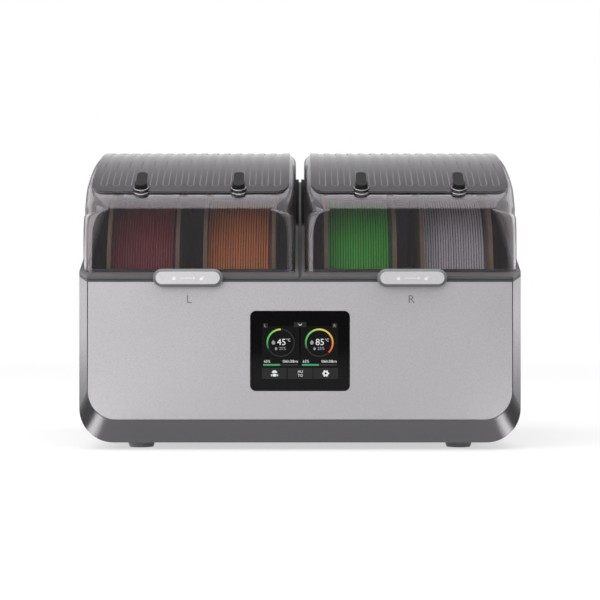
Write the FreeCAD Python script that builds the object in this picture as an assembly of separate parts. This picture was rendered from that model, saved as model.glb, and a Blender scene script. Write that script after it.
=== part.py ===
import FreeCAD, Part
import math
import os

# Four-spool filament dryer box with two heated chambers, in millimetres.
# X runs along the front from left to right, Y runs to the rear, Z is up, and the feet stand on Z = 0.
# Places along the depth are given as a setback from the face of the front panel.

# Spools that the chambers are built around
spool_radius = 100.0
spool_width = 67.0
spool_gap = 22.0
spool_flange = 3.6
spool_hub_radius = 40.0
spool_bore_radius = 26.5
wound_radius = 86.0
filament_diameter = 1.75
filament_turns = 24
filament_sides = 6
filament_bend = 1.9
layer_gap = 0.08

# Rollers, their axles and their ball bearings
roller_radius = 8.0
roller_spread = 35.0
roller_gap = 0.3
roller_floor_gap = 9.3
roller_side_margin = 2.5
roller_groove_depth = 0.8
roller_groove_width = 8.0
roller_bore_radius = 4.2
bearing_radius = 6.5
bearing_width = 5.0
axle_radius = 3.0
running_gap = 0.05
saddle_thickness = 4.0
saddle_margin = 5.0

# Chamber liners
liner_wall = 2.0
liner_floor = 46.0
liner_corner = 36.0
spool_room = 12.0
side_room = 14.5
chamber_spacing = 12.2
air_slot_width = 4.0
air_slot_length = 62.0
air_slot_pitch = 8.0
air_slot_count = 8

# Outer case
case_wall = 2.6
case_side_gap = 2.3
case_corner = 31.0
case_rear_round = 8.0
blank_top = 330.0
front_bay = 26.0
rear_bay = 26.0
foot_height = 6.3
foot_radius_top = 13.0
foot_radius_bottom = 11.0
foot_x = 146.6
foot_setback = 45.0

# Front panel and the bevelled nose round it
panel_half_width = 190.7
panel_bottom = 28.0
panel_top = 151.6
panel_corner = 25.5
panel_thickness = 3.0
panel_fit = 0.3
nose_lip = 0.5
nose_depth = 12.0
ledge_width = 6.0
ledge_thickness = 2.4

# Sloped rim that the lids close on
shelf_height = 257.2
shelf_reach = 3.0
frame_thickness = 2.2
lip_thickness = 1.2
lip_height = 5.0
sill_setback = 17.0
sill_height = 155.0
lid_rest_gap = 0.4
seal_width = 2.0
seal_depth = 1.2
seal_proud = 0.1
seal_fit = 0.05

# Lids
lid_wall = 2.4
lid_clearance = 0.3
lid_setback = 9.0
lid_overhang = 3.0
lid_parting = 2.4
flange_height = 2.6
knee_height = 210.0
knee_radius = 26.0
crown_slope = 33.0
crown_radius = 300.0
shoulder_radius = 5.5

# Ribbed panel on the crown of each lid
rib_panel_margin = 0.3
rib_panel_front = 21.5
rib_rear_margin = 8.0
rib_panel_thickness = 1.8
rib_panel_corner = 10.0
rib_bond = 0.05
flute_pitch = 11.4
flute_width = 5.6
flute_depth = 1.0
flute_count = 15
flute_front = 33.0
flute_rear_margin = 10.0

# Filament outlets in the front of each crown, each with a pull-out plug
outlet_setback = 26.0
boss_radius = 7.2
boss_height = 4.0
boss_root = 5.0
bush_radius = 5.5
bush_flange_radius = 6.6
bush_flange = 1.4
outlet_bore_radius = 2.3
plug_gap = 0.1
plug_cap_radius = 5.6
plug_cap = 3.0
plug_pin = 9.0
tab_width = 9.2
tab_length = 22.0
tab_thickness = 2.2
tab_tip_round = 3.7

# Hinges on the rear shelf
hinge_radius = 4.6
hinge_reach = 8.0
hinge_pin_radius = 1.6
hinge_lid_width = 26.0
hinge_ear_width = 11.0
hinge_side_gap = 0.4
hinge_offset = 58.0
hinge_floor_gap = 0.6

# Sliding latches
latch_length = 62.5
latch_height = 16.4
latch_bottom = 147.0
latch_face = 6.2
latch_back = 1.6
latch_bevel = 2.6
latch_travel = 8.0
latch_gap = 0.3
guide_length = 36.0
guide_height = 4.4
guide_lift = 0.8
guide_nose = 4.0
guide_round = 0.9
tongue_width = 10.0
tongue_thickness = 1.8
tongue_rise = 0.6
tongue_reach = 8.0
hook_length = 2.4
hook_height = 3.4
notch_gap = 0.6

# Touch display
glass_width = 89.4
glass_height = 71.8
glass_centre = 89.6
glass_corner = 5.0
glass_fit = 0.2
module_width = 80.0
module_height = 62.0
module_thickness = 5.0
ribbon_plug_width = 27.0
ribbon_plug_height = 15.0
ribbon_plug_depth = 4.8
driver_thickness = 1.6
driver_margin = 3.0

# Covers, their screws and the vents
cover_fit = 0.3
rear_cover_half = 176.0
rear_cover_bottom = 26.0
rear_cover_top = 236.0
rear_cover_corner = 10.0
base_cover_half = 126.0
base_cover_front = 34.0
base_cover_corner = 8.0
screw_inset = 2.8
screw_head_radius = 2.6
screw_head = 1.4
screw_shank_radius = 1.3
screw_length = 4.6
screw_fit = 0.1
vent_slot_length = 70.0
vent_slot_width = 4.0
vent_slot_pitch = 9.0
vent_slot_count = 6
vent_height = 34.0
vent_inner_x = 25.0
base_slot_length = 35.0
base_slot_margin = 7.9
slot_end_round = 0.45
cut_over = 1.0

# Heaters and fans under the chambers
heater_side = 80.0
heater_height = 9.0
heater_frame = 4.0
fin_thickness = 1.4
fin_count = 12
fan_height = 15.0
fan_bore_radius = 37.5
fan_tip_gap = 1.0
fan_top_gap = 0.5
fan_motor_gap = 0.3
fan_hub_radius = 14.0
fan_motor_radius = 11.0
fan_motor_height = 3.0
fan_spoke_width = 5.0
fan_spoke_seat = 1.0
fan_shaft_radius = 1.5
fan_hub_skin = 2.0
blade_count = 7
blade_pitch = 38.0
blade_thickness = 1.4
blade_chord = 11.0

# Electronics and the mains entry
board_width = 96.0
board_front = 44.0
board_length = 82.0
board_thickness = 1.6
standoff_height = 5.0
standoff_radius = 3.0
standoff_inset = 5.0
chip_side = 19.0
chip_height = 1.6
relay_width = 19.0
relay_length = 16.0
relay_height = 14.4
header_length = 27.0
header_width = 6.0
header_height = 8.0
board_edge = 4.0
supply_width = 98.0
supply_front = 138.0
supply_length = 96.0
supply_height = 22.0
inlet_x = 146.0
inlet_centre = 62.0
inlet_flange_width = 31.0
inlet_flange_height = 60.0
inlet_flange = 1.6
inlet_body_depth = 18.0
inlet_body_margin = 2.0
socket_width = 24.4
socket_height = 16.6
socket_depth = 15.0
socket_drop = 12.0
prong_width = 4.0
prong_thickness = 2.0
prong_spacing = 7.0
prong_lift = 2.0
prong_length = 12.0
rocker_width = 13.0
rocker_height = 19.0
rocker_rise = 14.0
rocker_depth = 9.0
rocker_tilt = 7.0
rocker_gap = 0.4
rocker_well_gap = 1.2
rocker_sink = 2.4
rocker_taper = 0.5
rocker_pin_radius = 1.5
sensor_width = 14.0
sensor_height = 24.0
sensor_depth = 5.0
sensor_round = 2.8
sensor_centre = 150.0

# Sizes that follow from the values above
chamber_half = spool_width + spool_gap / 2 + side_room
chamber_x = chamber_spacing / 2 + liner_wall + chamber_half
case_half = chamber_x + chamber_half + liner_wall + case_side_gap + case_wall
chamber_front = front_bay + liner_wall
chamber_rear = chamber_front + 2 * (spool_radius + spool_room)
case_depth = chamber_rear + liner_wall + rear_bay
spool_setback = chamber_front + spool_radius + spool_room
spool_offset = (spool_width + spool_gap) / 2
latch_top = latch_bottom + latch_height
front_y = (latch_face - case_depth - inlet_flange) / 2
case_bottom = foot_height
shelf_setback = chamber_rear + shelf_reach
rim_slope = (shelf_height - panel_top) / shelf_setback
lid_rear = shelf_setback + lid_overhang
hinge_setback = lid_rear + hinge_reach
rib_panel_rear = lid_rear - rib_rear_margin
flute_rear = rib_panel_rear - flute_rear_margin
base_cover_rear = case_depth - base_cover_front
base_slot_outer = base_cover_half - base_slot_margin
lid_half = chamber_half + lip_thickness + lid_clearance + lid_wall
roller_distance = spool_radius + roller_radius + roller_gap
roller_reach = roller_distance * math.sin(math.radians(roller_spread))
roller_z = liner_floor + roller_radius + roller_floor_gap
spool_z = roller_z + roller_distance * math.cos(math.radians(roller_spread))
floor_under = liner_floor - liner_wall
inner_bottom = case_bottom + case_wall
sides = {"left": -1, "right": 1}

# Lid section, a straight front that rolls over a knee into the crown
knee_turn = math.radians(90.0 - crown_slope)
knee_setback = lid_setback + knee_radius
crown_start = knee_setback - knee_radius * math.cos(knee_turn)
crown_setback = crown_start + crown_radius * math.cos(knee_turn)
crown_z = knee_height + knee_radius * math.sin(knee_turn) - crown_radius * math.sin(knee_turn)


def at(x, setback, z):
    return FreeCAD.Vector(x, front_y + setback, z)


def box(x0, x1, setback0, setback1, z0, z1):
    return Part.makeBox(x1 - x0, setback1 - setback0, z1 - z0, at(x0, setback0, z0))


def soft_box(x0, x1, setback0, setback1, z0, z1, radius, axis):
    # A box whose edges along one axis are rounded
    block = box(x0, x1, setback0, setback1, z0, z1)
    along = []
    for edge in block.Edges:
        run = edge.Vertexes[1].Point - edge.Vertexes[0].Point
        if run.cross(axis).Length < 1e-6:
            along.append(edge)
    return block.makeFillet(radius, along)


def bar_x(x0, x1, setback, z, radius):
    return Part.makeCylinder(radius, x1 - x0, at(x0, setback, z), along_x)


def side_prism(points, x0, x1):
    # Extrudes a side outline of (setback, z) points from x0 to x1
    corners = [at(x0, setback, z) for setback, z in points]
    outline = Part.makePolygon(corners + [corners[0]])
    return Part.Face(outline).extrude(FreeCAD.Vector(x1 - x0, 0, 0))


def fuse(shapes):
    whole = shapes[0]
    if len(shapes) > 1:
        whole = shapes[0].fuse(shapes[1:])
    return whole.removeSplitter()


def save(name, *solids):
    shape = solids[0] if len(solids) == 1 else Part.makeCompound(list(solids))
    for solid in shape.Solids:
        if not solid.isValid():
            print("invalid solid in", name)
    shape.exportStep(os.path.join("parts", name + ".step"))
    print(name, len(shape.Solids), round(shape.Volume / 1000.0, 1), "cm3")


along_x = FreeCAD.Vector(1, 0, 0)
along_y = FreeCAD.Vector(0, 1, 0)
along_z = FreeCAD.Vector(0, 0, 1)


# Case

def rim_z(setback):
    return panel_top + rim_slope * min(setback, shelf_setback)


def rim_slab(low, high):
    # The layer between two heights over the rim, as wide as the case
    ends = [-case_wall * 4, shelf_setback, case_depth + case_wall]
    lower = [(setback, rim_z(setback) + low) for setback in ends]
    upper = [(setback, rim_z(setback) + high) for setback in reversed(ends)]
    return side_prism(lower + upper, -case_half - case_wall, case_half + case_wall)


def case_outline(half_width, bottom, radius, setback):
    # Front outline of the case: two sides, rounded lower corners and an open top beyond the rim
    side = half_width - radius
    diagonal = radius * math.sqrt(0.5)
    low = bottom + radius
    left_arc = [(-half_width, low), (-side - diagonal, low - diagonal), (-side, bottom)]
    right_arc = [(side, bottom), (side + diagonal, low - diagonal), (half_width, low)]
    arcs = [Part.Arc(*[at(x, setback, z) for x, z in points]).toShape() for points in (left_arc, right_arc)]
    lines = [
        [(-half_width, blank_top), left_arc[0]],
        [left_arc[2], right_arc[0]],
        [right_arc[2], (half_width, blank_top)],
        [(half_width, blank_top), (-half_width, blank_top)],
    ]
    edges = [Part.makeLine(*[at(x, setback, z) for x, z in ends]) for ends in lines]
    return Part.Wire([edges[0], arcs[0], edges[1], arcs[1], edges[2], edges[3]])


def case_blank():
    # The filled outside of the case: a bevelled nose and a straight body with a rounded rear
    front = case_outline(
        panel_half_width + panel_fit + nose_lip,
        panel_bottom - panel_fit - nose_lip,
        panel_corner + panel_fit + nose_lip,
        0,
    )
    body = case_outline(case_half, case_bottom, case_corner, nose_depth)
    nose = Part.makeLoft([front, body], True, True)
    trunk = Part.Face(body).extrude(FreeCAD.Vector(0, case_depth - nose_depth, 0))
    rear_y = front_y + case_depth
    rim_edges = []
    for edge in trunk.Edges:
        bounds = edge.BoundBox
        at_rear = abs(bounds.YMin - rear_y) < 0.01 and bounds.YLength < 0.01
        if at_rear and bounds.ZMin < blank_top - cut_over:
            rim_edges.append(edge)
    return nose.fuse(trunk.makeFillet(case_rear_round, rim_edges)).removeSplitter()


def case_cavity():
    start = panel_thickness + ledge_thickness
    front = case_outline(
        panel_half_width - ledge_width,
        panel_bottom + ledge_width,
        panel_corner - ledge_width,
        start,
    )
    inner_half = case_half - case_wall
    body = case_outline(inner_half, inner_bottom, case_corner - case_wall, nose_depth + case_wall)
    nose = Part.makeLoft([front, body], True, True)
    trunk = Part.Face(body).extrude(FreeCAD.Vector(0, case_depth - nose_depth - 2 * case_wall, 0))
    return nose.fuse(trunk)


def panel_prism(grow, setback0, setback1):
    outline = case_outline(panel_half_width + grow, panel_bottom - grow, panel_corner + grow, setback0)
    return Part.Face(outline).extrude(FreeCAD.Vector(0, setback1 - setback0, 0))


def rear_plate(grow, setback0, setback1):
    return soft_box(
        -rear_cover_half - grow, rear_cover_half + grow, setback0, setback1,
        rear_cover_bottom - grow, rear_cover_top + grow, rear_cover_corner + grow, along_y,
    )


def base_plate(grow, z0, z1):
    return soft_box(
        -base_cover_half - grow, base_cover_half + grow, base_cover_front - grow, base_cover_rear + grow,
        z0, z1, base_cover_corner + grow, along_z,
    )


def rear_screw_places():
    high = rear_cover_top - screw_inset
    low = rear_cover_bottom + screw_inset
    corner = rear_cover_half - rear_cover_corner
    return [at(x, case_depth, z) for x in (-corner, 0, corner) for z in (low, high)]


def base_screw_places():
    edge = base_cover_half - screw_inset
    front = base_cover_front + base_cover_corner
    rear = base_cover_rear - base_cover_corner
    setbacks = (front, (front + rear) / 2, rear)
    return [at(x, setback, case_bottom) for x in (-edge, edge) for setback in setbacks]


def screw(place, inward, grow):
    head = Part.makeCylinder(screw_head_radius + grow, screw_head + grow, place, inward)
    shank = Part.makeCylinder(screw_shank_radius + grow, screw_length + grow, place, inward)
    return head.fuse(shank).removeSplitter()


def all_screws(grow):
    rear = [screw(place, -along_y, grow) for place in rear_screw_places()]
    return rear + [screw(place, along_z, grow) for place in base_screw_places()]


def outer_shell(blank):
    shell = blank.common(rim_slab(-blank_top, 0))
    shell = shell.cut([case_cavity(), panel_prism(panel_fit, -case_wall, panel_thickness)])
    shell = shell.cut(panel_prism(-ledge_width, 0, nose_depth))
    inside_rear = case_depth - case_wall
    rear_ledge = rear_plate(ledge_width, inside_rear - ledge_thickness, inside_rear)
    base_ledge = base_plate(ledge_width, inner_bottom, inner_bottom + ledge_thickness)
    shell = fuse([shell, rear_ledge, base_ledge])
    holes = [
        rear_plate(cover_fit, inside_rear, case_depth + case_wall),
        rear_plate(-ledge_width, inside_rear - 2 * ledge_thickness, case_depth),
        base_plate(cover_fit, case_bottom - case_wall, inner_bottom),
        base_plate(-ledge_width, case_bottom, inner_bottom + 2 * ledge_thickness),
    ]
    return shell.cut(holes + all_screws(screw_fit)).removeSplitter()


def tongue_centre(side):
    return side * chamber_x + latch_travel / 2


def tongue_span(side):
    # Where the latch tongue passes, from its locked end to its free end
    free = tongue_centre(side)
    return free - latch_travel - tongue_width / 2 - notch_gap, free + tongue_width / 2 + notch_gap


def front_panel():
    plate = panel_prism(0, 0, panel_thickness).common(rim_slab(-blank_top, 0))
    plate = plate.common(box(-case_half, case_half, 0, panel_thickness, 0, panel_top))
    window = soft_box(
        -glass_width / 2 - glass_fit, glass_width / 2 + glass_fit, -case_wall, nose_depth,
        glass_centre - glass_height / 2 - glass_fit, glass_centre + glass_height / 2 + glass_fit,
        glass_corner + glass_fit, along_y,
    )
    cuts = [window]
    notch_low = latch_bottom + tongue_rise - latch_gap
    for side in sides.values():
        low, high = tongue_span(side)
        cuts.append(box(low, high, -case_wall, nose_depth, notch_low, panel_top + case_wall))
    return plate.cut(cuts)


def vent_slots(x_centre, z0):
    slots = []
    for row in range(vent_slot_count):
        low = z0 + row * vent_slot_pitch
        slots.append(soft_box(
            x_centre - vent_slot_length / 2, x_centre + vent_slot_length / 2,
            case_depth - 3 * case_wall, case_depth + cut_over,
            low, low + vent_slot_width, vent_slot_width * slot_end_round, along_y,
        ))
    return slots


def inlet_block(grow, setback0, setback1):
    half_x = inlet_flange_width / 2 - inlet_body_margin + grow
    half_z = inlet_flange_height / 2 - inlet_body_margin + grow
    return box(
        inlet_x - half_x, inlet_x + half_x, setback0, setback1,
        inlet_centre - half_z, inlet_centre + half_z,
    )


def rear_cover():
    plate = rear_plate(0, case_depth - case_wall, case_depth)
    slots = vent_slots(-chamber_x, vent_height) + vent_slots(vent_inner_x, vent_height)
    opening = inlet_block(cover_fit, case_depth - 3 * case_wall, case_depth + cut_over)
    return plate.cut(slots + [opening] + all_screws(screw_fit))


def base_cover():
    plate = base_plate(0, case_bottom, inner_bottom)
    posts = []
    for x in (-1, 1):
        for setback in (board_front + standoff_inset, board_front + board_length - standoff_inset):
            place = at(x * (board_width / 2 - standoff_inset), setback, inner_bottom)
            posts.append(Part.makeCylinder(standoff_radius, standoff_height, place))
    slots = []
    for side in sides.values():
        for row in range(vent_slot_count):
            setback = spool_setback + (row - (vent_slot_count - 1) / 2) * vent_slot_pitch
            middle = side * (base_slot_outer - base_slot_length / 2)
            slots.append(soft_box(
                middle - base_slot_length / 2, middle + base_slot_length / 2,
                setback - vent_slot_width / 2, setback + vent_slot_width / 2,
                case_bottom - cut_over, inner_bottom + cut_over, vent_slot_width * slot_end_round, along_z,
            ))
    return fuse([plate] + posts).cut(slots + all_screws(screw_fit))


def feet():
    setbacks = (foot_setback, case_depth - foot_setback)
    places = [at(x, setback, 0) for x in (-foot_x, foot_x) for setback in setbacks]
    return [Part.makeCone(foot_radius_bottom, foot_radius_top, foot_height, place) for place in places]


# Rim frame, hinges and seals

def chamber_block(side, grow, z0, z1):
    middle = side * chamber_x
    return box(
        middle - chamber_half - grow, middle + chamber_half + grow,
        sill_setback - grow, chamber_rear + grow, z0, z1,
    )


def seal_ring(side, grow):
    # Stands in the frame under the edge of the lid
    middle = side * chamber_x
    inset = (lid_wall - seal_width) / 2

    def column(margin):
        half = lid_half - margin
        return box(middle - half, middle + half, lid_setback + margin, lid_rear - margin, 0, blank_top)

    ring = column(inset - grow).cut(column(inset + seal_width + grow))
    return ring.common(rim_slab(frame_thickness - seal_depth - grow, frame_thickness + seal_proud + grow))


hinge_z = rim_z(hinge_setback) + frame_thickness + hinge_radius + hinge_floor_gap


def hinge_centres(side):
    return [side * chamber_x - hinge_offset, side * chamber_x + hinge_offset]


def hinge_ear(x0):
    barrel = bar_x(x0, x0 + hinge_ear_width, hinge_setback, hinge_z, hinge_radius)
    root = box(
        x0, x0 + hinge_ear_width, hinge_setback - hinge_radius, hinge_setback + hinge_radius,
        rim_z(case_depth) + frame_thickness / 2, hinge_z,
    )
    return barrel.fuse(root)


def top_frame(blank):
    frame = blank.common(rim_slab(0, frame_thickness))
    for side in sides.values():
        frame = frame.cut([chamber_block(side, 0, 0, blank_top), seal_ring(side, seal_fit)])
    added = [frame]
    for side in sides.values():
        lip = chamber_block(side, lip_thickness, 0, blank_top).cut(chamber_block(side, 0, 0, blank_top))
        added.append(lip.common(rim_slab(frame_thickness / 2, lip_height)))
        for centre in hinge_centres(side):
            half = hinge_lid_width / 2 + hinge_side_gap
            added.append(hinge_ear(centre + half))
            added.append(hinge_ear(centre - half - hinge_ear_width))
    cuts = [bar_x(-case_half, case_half, hinge_setback, hinge_z, hinge_pin_radius)]
    for side in sides.values():
        half = tongue_width / 2 + notch_gap
        middle = tongue_centre(side)
        notch_end = tongue_reach + 2 * notch_gap
        cuts.append(box(middle - half, middle + half, -case_wall, notch_end, 0, blank_top))
    return fuse(added).cut(cuts).removeSplitter()


def hinge_pins():
    half = hinge_lid_width / 2 + hinge_side_gap + hinge_ear_width
    centres = hinge_centres(-1) + hinge_centres(1)
    return [bar_x(x - half, x + half, hinge_setback, hinge_z, hinge_pin_radius) for x in centres]


# Chamber liners and the rollers in them

def liner_outline(grow, x):
    # Side outline of a chamber: open top, a sill in front, flat floor, rounded lower corners
    front = chamber_front - grow
    rear = chamber_rear + grow
    floor = liner_floor - grow
    radius = liner_corner + grow
    diagonal = radius * math.sqrt(0.5)
    low = floor + radius
    front_arc = [(front, low), (front + radius - diagonal, low - diagonal), (front + radius, floor)]
    rear_arc = [(rear - radius, floor), (rear - radius + diagonal, low - diagonal), (rear, low)]
    edge = sill_setback - grow
    sill = [(edge, blank_top), (edge, sill_height - grow), (front, sill_height - grow)]
    arcs = []
    for points in (front_arc, rear_arc):
        arcs.append(Part.Arc(*[at(x, setback, z) for setback, z in points]).toShape())
    lines = [
        [sill[2], front_arc[0]],
        [front_arc[2], rear_arc[0]],
        [rear_arc[2], (rear, blank_top)],
        [(rear, blank_top), sill[0]],
        [sill[0], sill[1]],
        [sill[1], sill[2]],
    ]
    edges = [Part.makeLine(*[at(x, setback, z) for setback, z in ends]) for ends in lines]
    return Part.Wire([edges[0], arcs[0], edges[1], arcs[1]] + edges[2:])


def liner_block(side, grow):
    left = side * chamber_x - chamber_half - grow
    return Part.Face(liner_outline(grow, left)).extrude(FreeCAD.Vector(2 * (chamber_half + grow), 0, 0))


def roller_setbacks():
    return {"front": spool_setback - roller_reach, "rear": spool_setback + roller_reach}


def saddle_places(side):
    # One saddle at each end of an axle and one between the two spools
    middle = side * chamber_x
    end = chamber_half - saddle_thickness / 2
    return [middle - end, middle, middle + end]


def saddle(x, setback):
    half = axle_radius + saddle_margin
    post = box(
        x - saddle_thickness / 2, x + saddle_thickness / 2, setback - half, setback + half,
        liner_floor - liner_wall / 2, roller_z + axle_radius,
    )
    room = axle_radius + running_gap
    seat = bar_x(x - saddle_thickness, x + saddle_thickness, setback, roller_z, room)
    throat = box(
        x - saddle_thickness, x + saddle_thickness, setback - room, setback + room,
        roller_z, roller_z + 2 * axle_radius,
    )
    return post.cut([seat, throat])


def chamber_liner(side):
    liner = liner_block(side, liner_wall).cut(liner_block(side, 0))
    liner = liner.common(rim_slab(-blank_top, 0))
    saddles = [saddle(x, setback) for x in saddle_places(side) for setback in roller_setbacks().values()]
    slots = []
    for row in range(air_slot_count):
        setback = spool_setback + (row - (air_slot_count - 1) / 2) * air_slot_pitch
        slots.append(soft_box(
            side * chamber_x - air_slot_length / 2, side * chamber_x + air_slot_length / 2,
            setback - air_slot_width / 2, setback + air_slot_width / 2,
            floor_under - cut_over, liner_floor + cut_over, air_slot_width * slot_end_round, along_z,
        ))
    return fuse([liner] + saddles).cut(slots).removeSplitter()


def roller_half():
    return spool_width / 2 + roller_side_margin


def roller_axles():
    axles = []
    for side in sides.values():
        for setback in roller_setbacks().values():
            x = side * chamber_x
            axles.append(bar_x(x - chamber_half, x + chamber_half, setback, roller_z, axle_radius))
    return axles


def spool_places():
    return [side * chamber_x + step * spool_offset for side in (-1, 1) for step in (-1, 1)]


def bearing(x0, setback):
    outer = bar_x(x0, x0 + bearing_width, setback, roller_z, bearing_radius)
    return outer.cut(bar_x(x0, x0 + bearing_width, setback, roller_z, axle_radius + running_gap))


def roller_bearings():
    rings = []
    for x in spool_places():
        for setback in roller_setbacks().values():
            rings.append(bearing(x - roller_half(), setback))
            rings.append(bearing(x + roller_half() - bearing_width, setback))
    return rings


def roller(x, setback):
    half = roller_half()
    core = bar_x(x - half, x + half, setback, roller_z, roller_radius)
    cuts = [bar_x(x - half, x + half, setback, roller_z, roller_bore_radius)]
    pocket = bearing_radius + running_gap
    pocket_width = bearing_width + running_gap
    cuts.append(bar_x(x - half, x - half + pocket_width, setback, roller_z, pocket))
    cuts.append(bar_x(x + half - pocket_width, x + half, setback, roller_z, pocket))
    left = x - roller_groove_width / 2
    right = x + roller_groove_width / 2
    groove = bar_x(left, right, setback, roller_z, roller_radius + cut_over)
    neck = bar_x(left, right, setback, roller_z, roller_radius - roller_groove_depth)
    return core.cut(cuts + [groove.cut(neck)])


# Spools and their windings

def spool_ring(x0, x1, radius, hole):
    ring = bar_x(x0, x1, spool_setback, spool_z, radius)
    return ring.cut(bar_x(x0, x1, spool_setback, spool_z, hole))


def spool_reel(x):
    # A tube with a board on each end
    half = spool_width / 2
    inner = half - spool_flange
    tube = spool_ring(x - half, x + half, spool_hub_radius, spool_bore_radius)
    spans = [(x - half, x - inner), (x + inner, x + half)]
    return [tube] + [spool_ring(low, high, spool_radius, spool_hub_radius) for low, high in spans]


def layer_radius():
    return wound_radius - filament_diameter - layer_gap


def winding_core(x):
    half = spool_width / 2 - spool_flange
    return spool_ring(x - half, x + half, layer_radius(), spool_hub_radius)


def arc_from_tangent(start, tangent, end):
    chord = end - start
    half_chord = chord.Length / 2
    unit = FreeCAD.Vector(chord).normalize()
    outward = tangent - unit * tangent.dot(unit)
    if outward.Length < 1e-9:
        return Part.makeLine(start, end)
    sagitta = half_chord * math.tan(math.acos(min(1.0, tangent.dot(unit))) / 2)
    middle = start + chord * 0.5 + outward.normalize() * sagitta
    return Part.Arc(start, middle, end).toShape()


def biarc(start, start_tangent, end, end_tangent):
    span = end - start
    both = start_tangent + end_tangent
    bend = 2 * (1 - start_tangent.dot(end_tangent))
    reach = (-span.dot(both) + math.sqrt(span.dot(both) ** 2 + bend * span.dot(span))) / bend
    joint = (start + end + (start_tangent - end_tangent) * reach) * 0.5
    joint_tangent = (joint - start - start_tangent * reach).normalize()
    return [arc_from_tangent(start, start_tangent, joint), arc_from_tangent(joint, joint_tangent, end)]


def winding_path(x):
    # The outer layer: a stub out of one flange, a bend, the turns, a bend, and a stub into the other flange
    centre = at(x, spool_setback, spool_z)
    radius = wound_radius - filament_diameter / 2
    half = spool_width / 2 - spool_flange
    inset = filament_diameter + filament_bend
    pitch = 2 * (half - inset) / filament_turns

    def point(turn):
        angle = 2 * math.pi * turn
        return centre + FreeCAD.Vector(
            inset - half + pitch * turn, -radius * math.cos(angle), radius * math.sin(angle),
        )

    def tangent(turn):
        angle = 2 * math.pi * turn
        return FreeCAD.Vector(
            pitch, 2 * math.pi * radius * math.sin(angle), 2 * math.pi * radius * math.cos(angle),
        ).normalize()

    def bend_in(place, direction, axis):
        # Bend from a run along the axis into a direction, ending at place
        turn = math.acos(direction.dot(axis))
        reach = filament_bend * math.tan(turn / 2)
        corner = place - direction * reach
        return corner - axis * reach

    start = bend_in(point(0), tangent(0), along_x)
    wall = FreeCAD.Vector(centre.x - half, start.y, start.z)
    edges = [Part.makeLine(wall, start), arc_from_tangent(start, along_x, point(0))]
    halves = 2 * filament_turns
    for step in range(halves):
        edges += biarc(point(step / 2), tangent(step / 2), point((step + 1) / 2), tangent((step + 1) / 2))
    finish = bend_in(point(filament_turns), -tangent(filament_turns), -along_x)
    far_wall = FreeCAD.Vector(centre.x + half, finish.y, finish.z)
    edges.append(arc_from_tangent(point(filament_turns), tangent(filament_turns), finish))
    edges.append(Part.makeLine(finish, far_wall))
    return Part.Wire(edges)


def print_least_gap(path):
    # Measures the turns on points, leaving out neighbours along the tube
    step = 3.0
    points = []
    for edge in path.OrderedEdges:
        points += edge.discretize(Number=max(2, int(edge.Length / step)))[:-1]
    per_turn = int(2 * math.pi * wound_radius / step)
    least = spool_width
    for i in range(0, len(points), 5):
        for j in range(i + per_turn // 2, min(len(points), i + 2 * per_turn)):
            least = min(least, points[i].distanceToPoint(points[j]))
    print("least gap between turns", round(least - filament_diameter, 3))


def winding_turns(x):
    path = winding_path(x)
    print_least_gap(path)
    first = path.OrderedEdges[0]
    start = first.valueAt(first.FirstParameter)
    corners = []
    for side in range(filament_sides + 1):
        angle = 2 * math.pi * (side + 0.5) / filament_sides
        corners.append(start + FreeCAD.Vector(0, math.cos(angle), math.sin(angle)) * (filament_diameter / 2))
    return path.makePipeShell([Part.makePolygon(corners)], True, False)


# Lids

def lid_outline(inset, x):
    front = lid_setback + inset
    rear = lid_rear - inset
    knee = knee_radius - inset
    crown = crown_radius - inset
    low = panel_top - knee_radius
    half_turn = knee_turn / 2

    def on_knee(angle):
        return knee_setback - knee * math.cos(angle), knee_height + knee * math.sin(angle)

    def on_crown(setback):
        return setback, crown_z + math.sqrt(crown ** 2 - (setback - crown_setback) ** 2)

    knee_end = on_knee(knee_turn)
    knee_points = [(front, knee_height), on_knee(half_turn), knee_end]
    crown_points = [knee_end, on_crown((knee_end[0] + rear) / 2), on_crown(rear)]
    edges = [Part.makeLine(at(x, front, low), at(x, front, knee_height))]
    for points in (knee_points, crown_points):
        edges.append(Part.Arc(*[at(x, setback, z) for setback, z in points]).toShape())
    edges.append(Part.makeLine(at(x, *crown_points[2]), at(x, rear, low)))
    edges.append(Part.makeLine(at(x, rear, low), at(x, front, low)))
    return Part.Wire(edges)


def lid_block(side, inset):
    # The filled lid, with its front corners and shoulders rounded
    half = lid_half - inset
    left = side * chamber_x - half
    block = Part.Face(lid_outline(inset, left)).extrude(FreeCAD.Vector(2 * half, 0, 0))
    low = panel_top - knee_radius
    rear = front_y + lid_rear - inset
    edges = []
    for edge in block.Edges:
        bounds = edge.BoundBox
        above = bounds.ZMax > low + cut_over and bounds.YMin < rear - cut_over
        if above and bounds.XLength < 0.01:
            edges.append(edge)
    return block.makeFillet(shoulder_radius - inset, edges)


def outlet_frame():
    # Point on the crown where an outlet stands, with the directions out of it and up the slope
    run = outlet_setback - crown_setback
    rise = math.sqrt(crown_radius ** 2 - run ** 2)
    out = FreeCAD.Vector(0, run / crown_radius, rise / crown_radius)
    up_slope = FreeCAD.Vector(0, out.z, -out.y)
    return FreeCAD.Vector(0, front_y + outlet_setback, crown_z + rise), out, up_slope


def outlet_bar(x, radius, low, high):
    foot, out, up_slope = outlet_frame()
    return Part.makeCylinder(radius, high - low, foot + along_x * x + out * low, out)


def lid_outlets(side):
    return [side * chamber_x - spool_offset, side * chamber_x + spool_offset]


def lid_flange(side, blank, hollow):
    low = frame_thickness + lid_rest_gap
    band = blank.common(rim_slab(low, low + flange_height))
    inner = side * lid_parting / 2
    outer = side * (case_half + case_wall)
    band = band.common(box(min(inner, outer), max(inner, outer), -case_wall, lid_rear, 0, blank_top))
    return band.cut(hollow)


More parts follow.
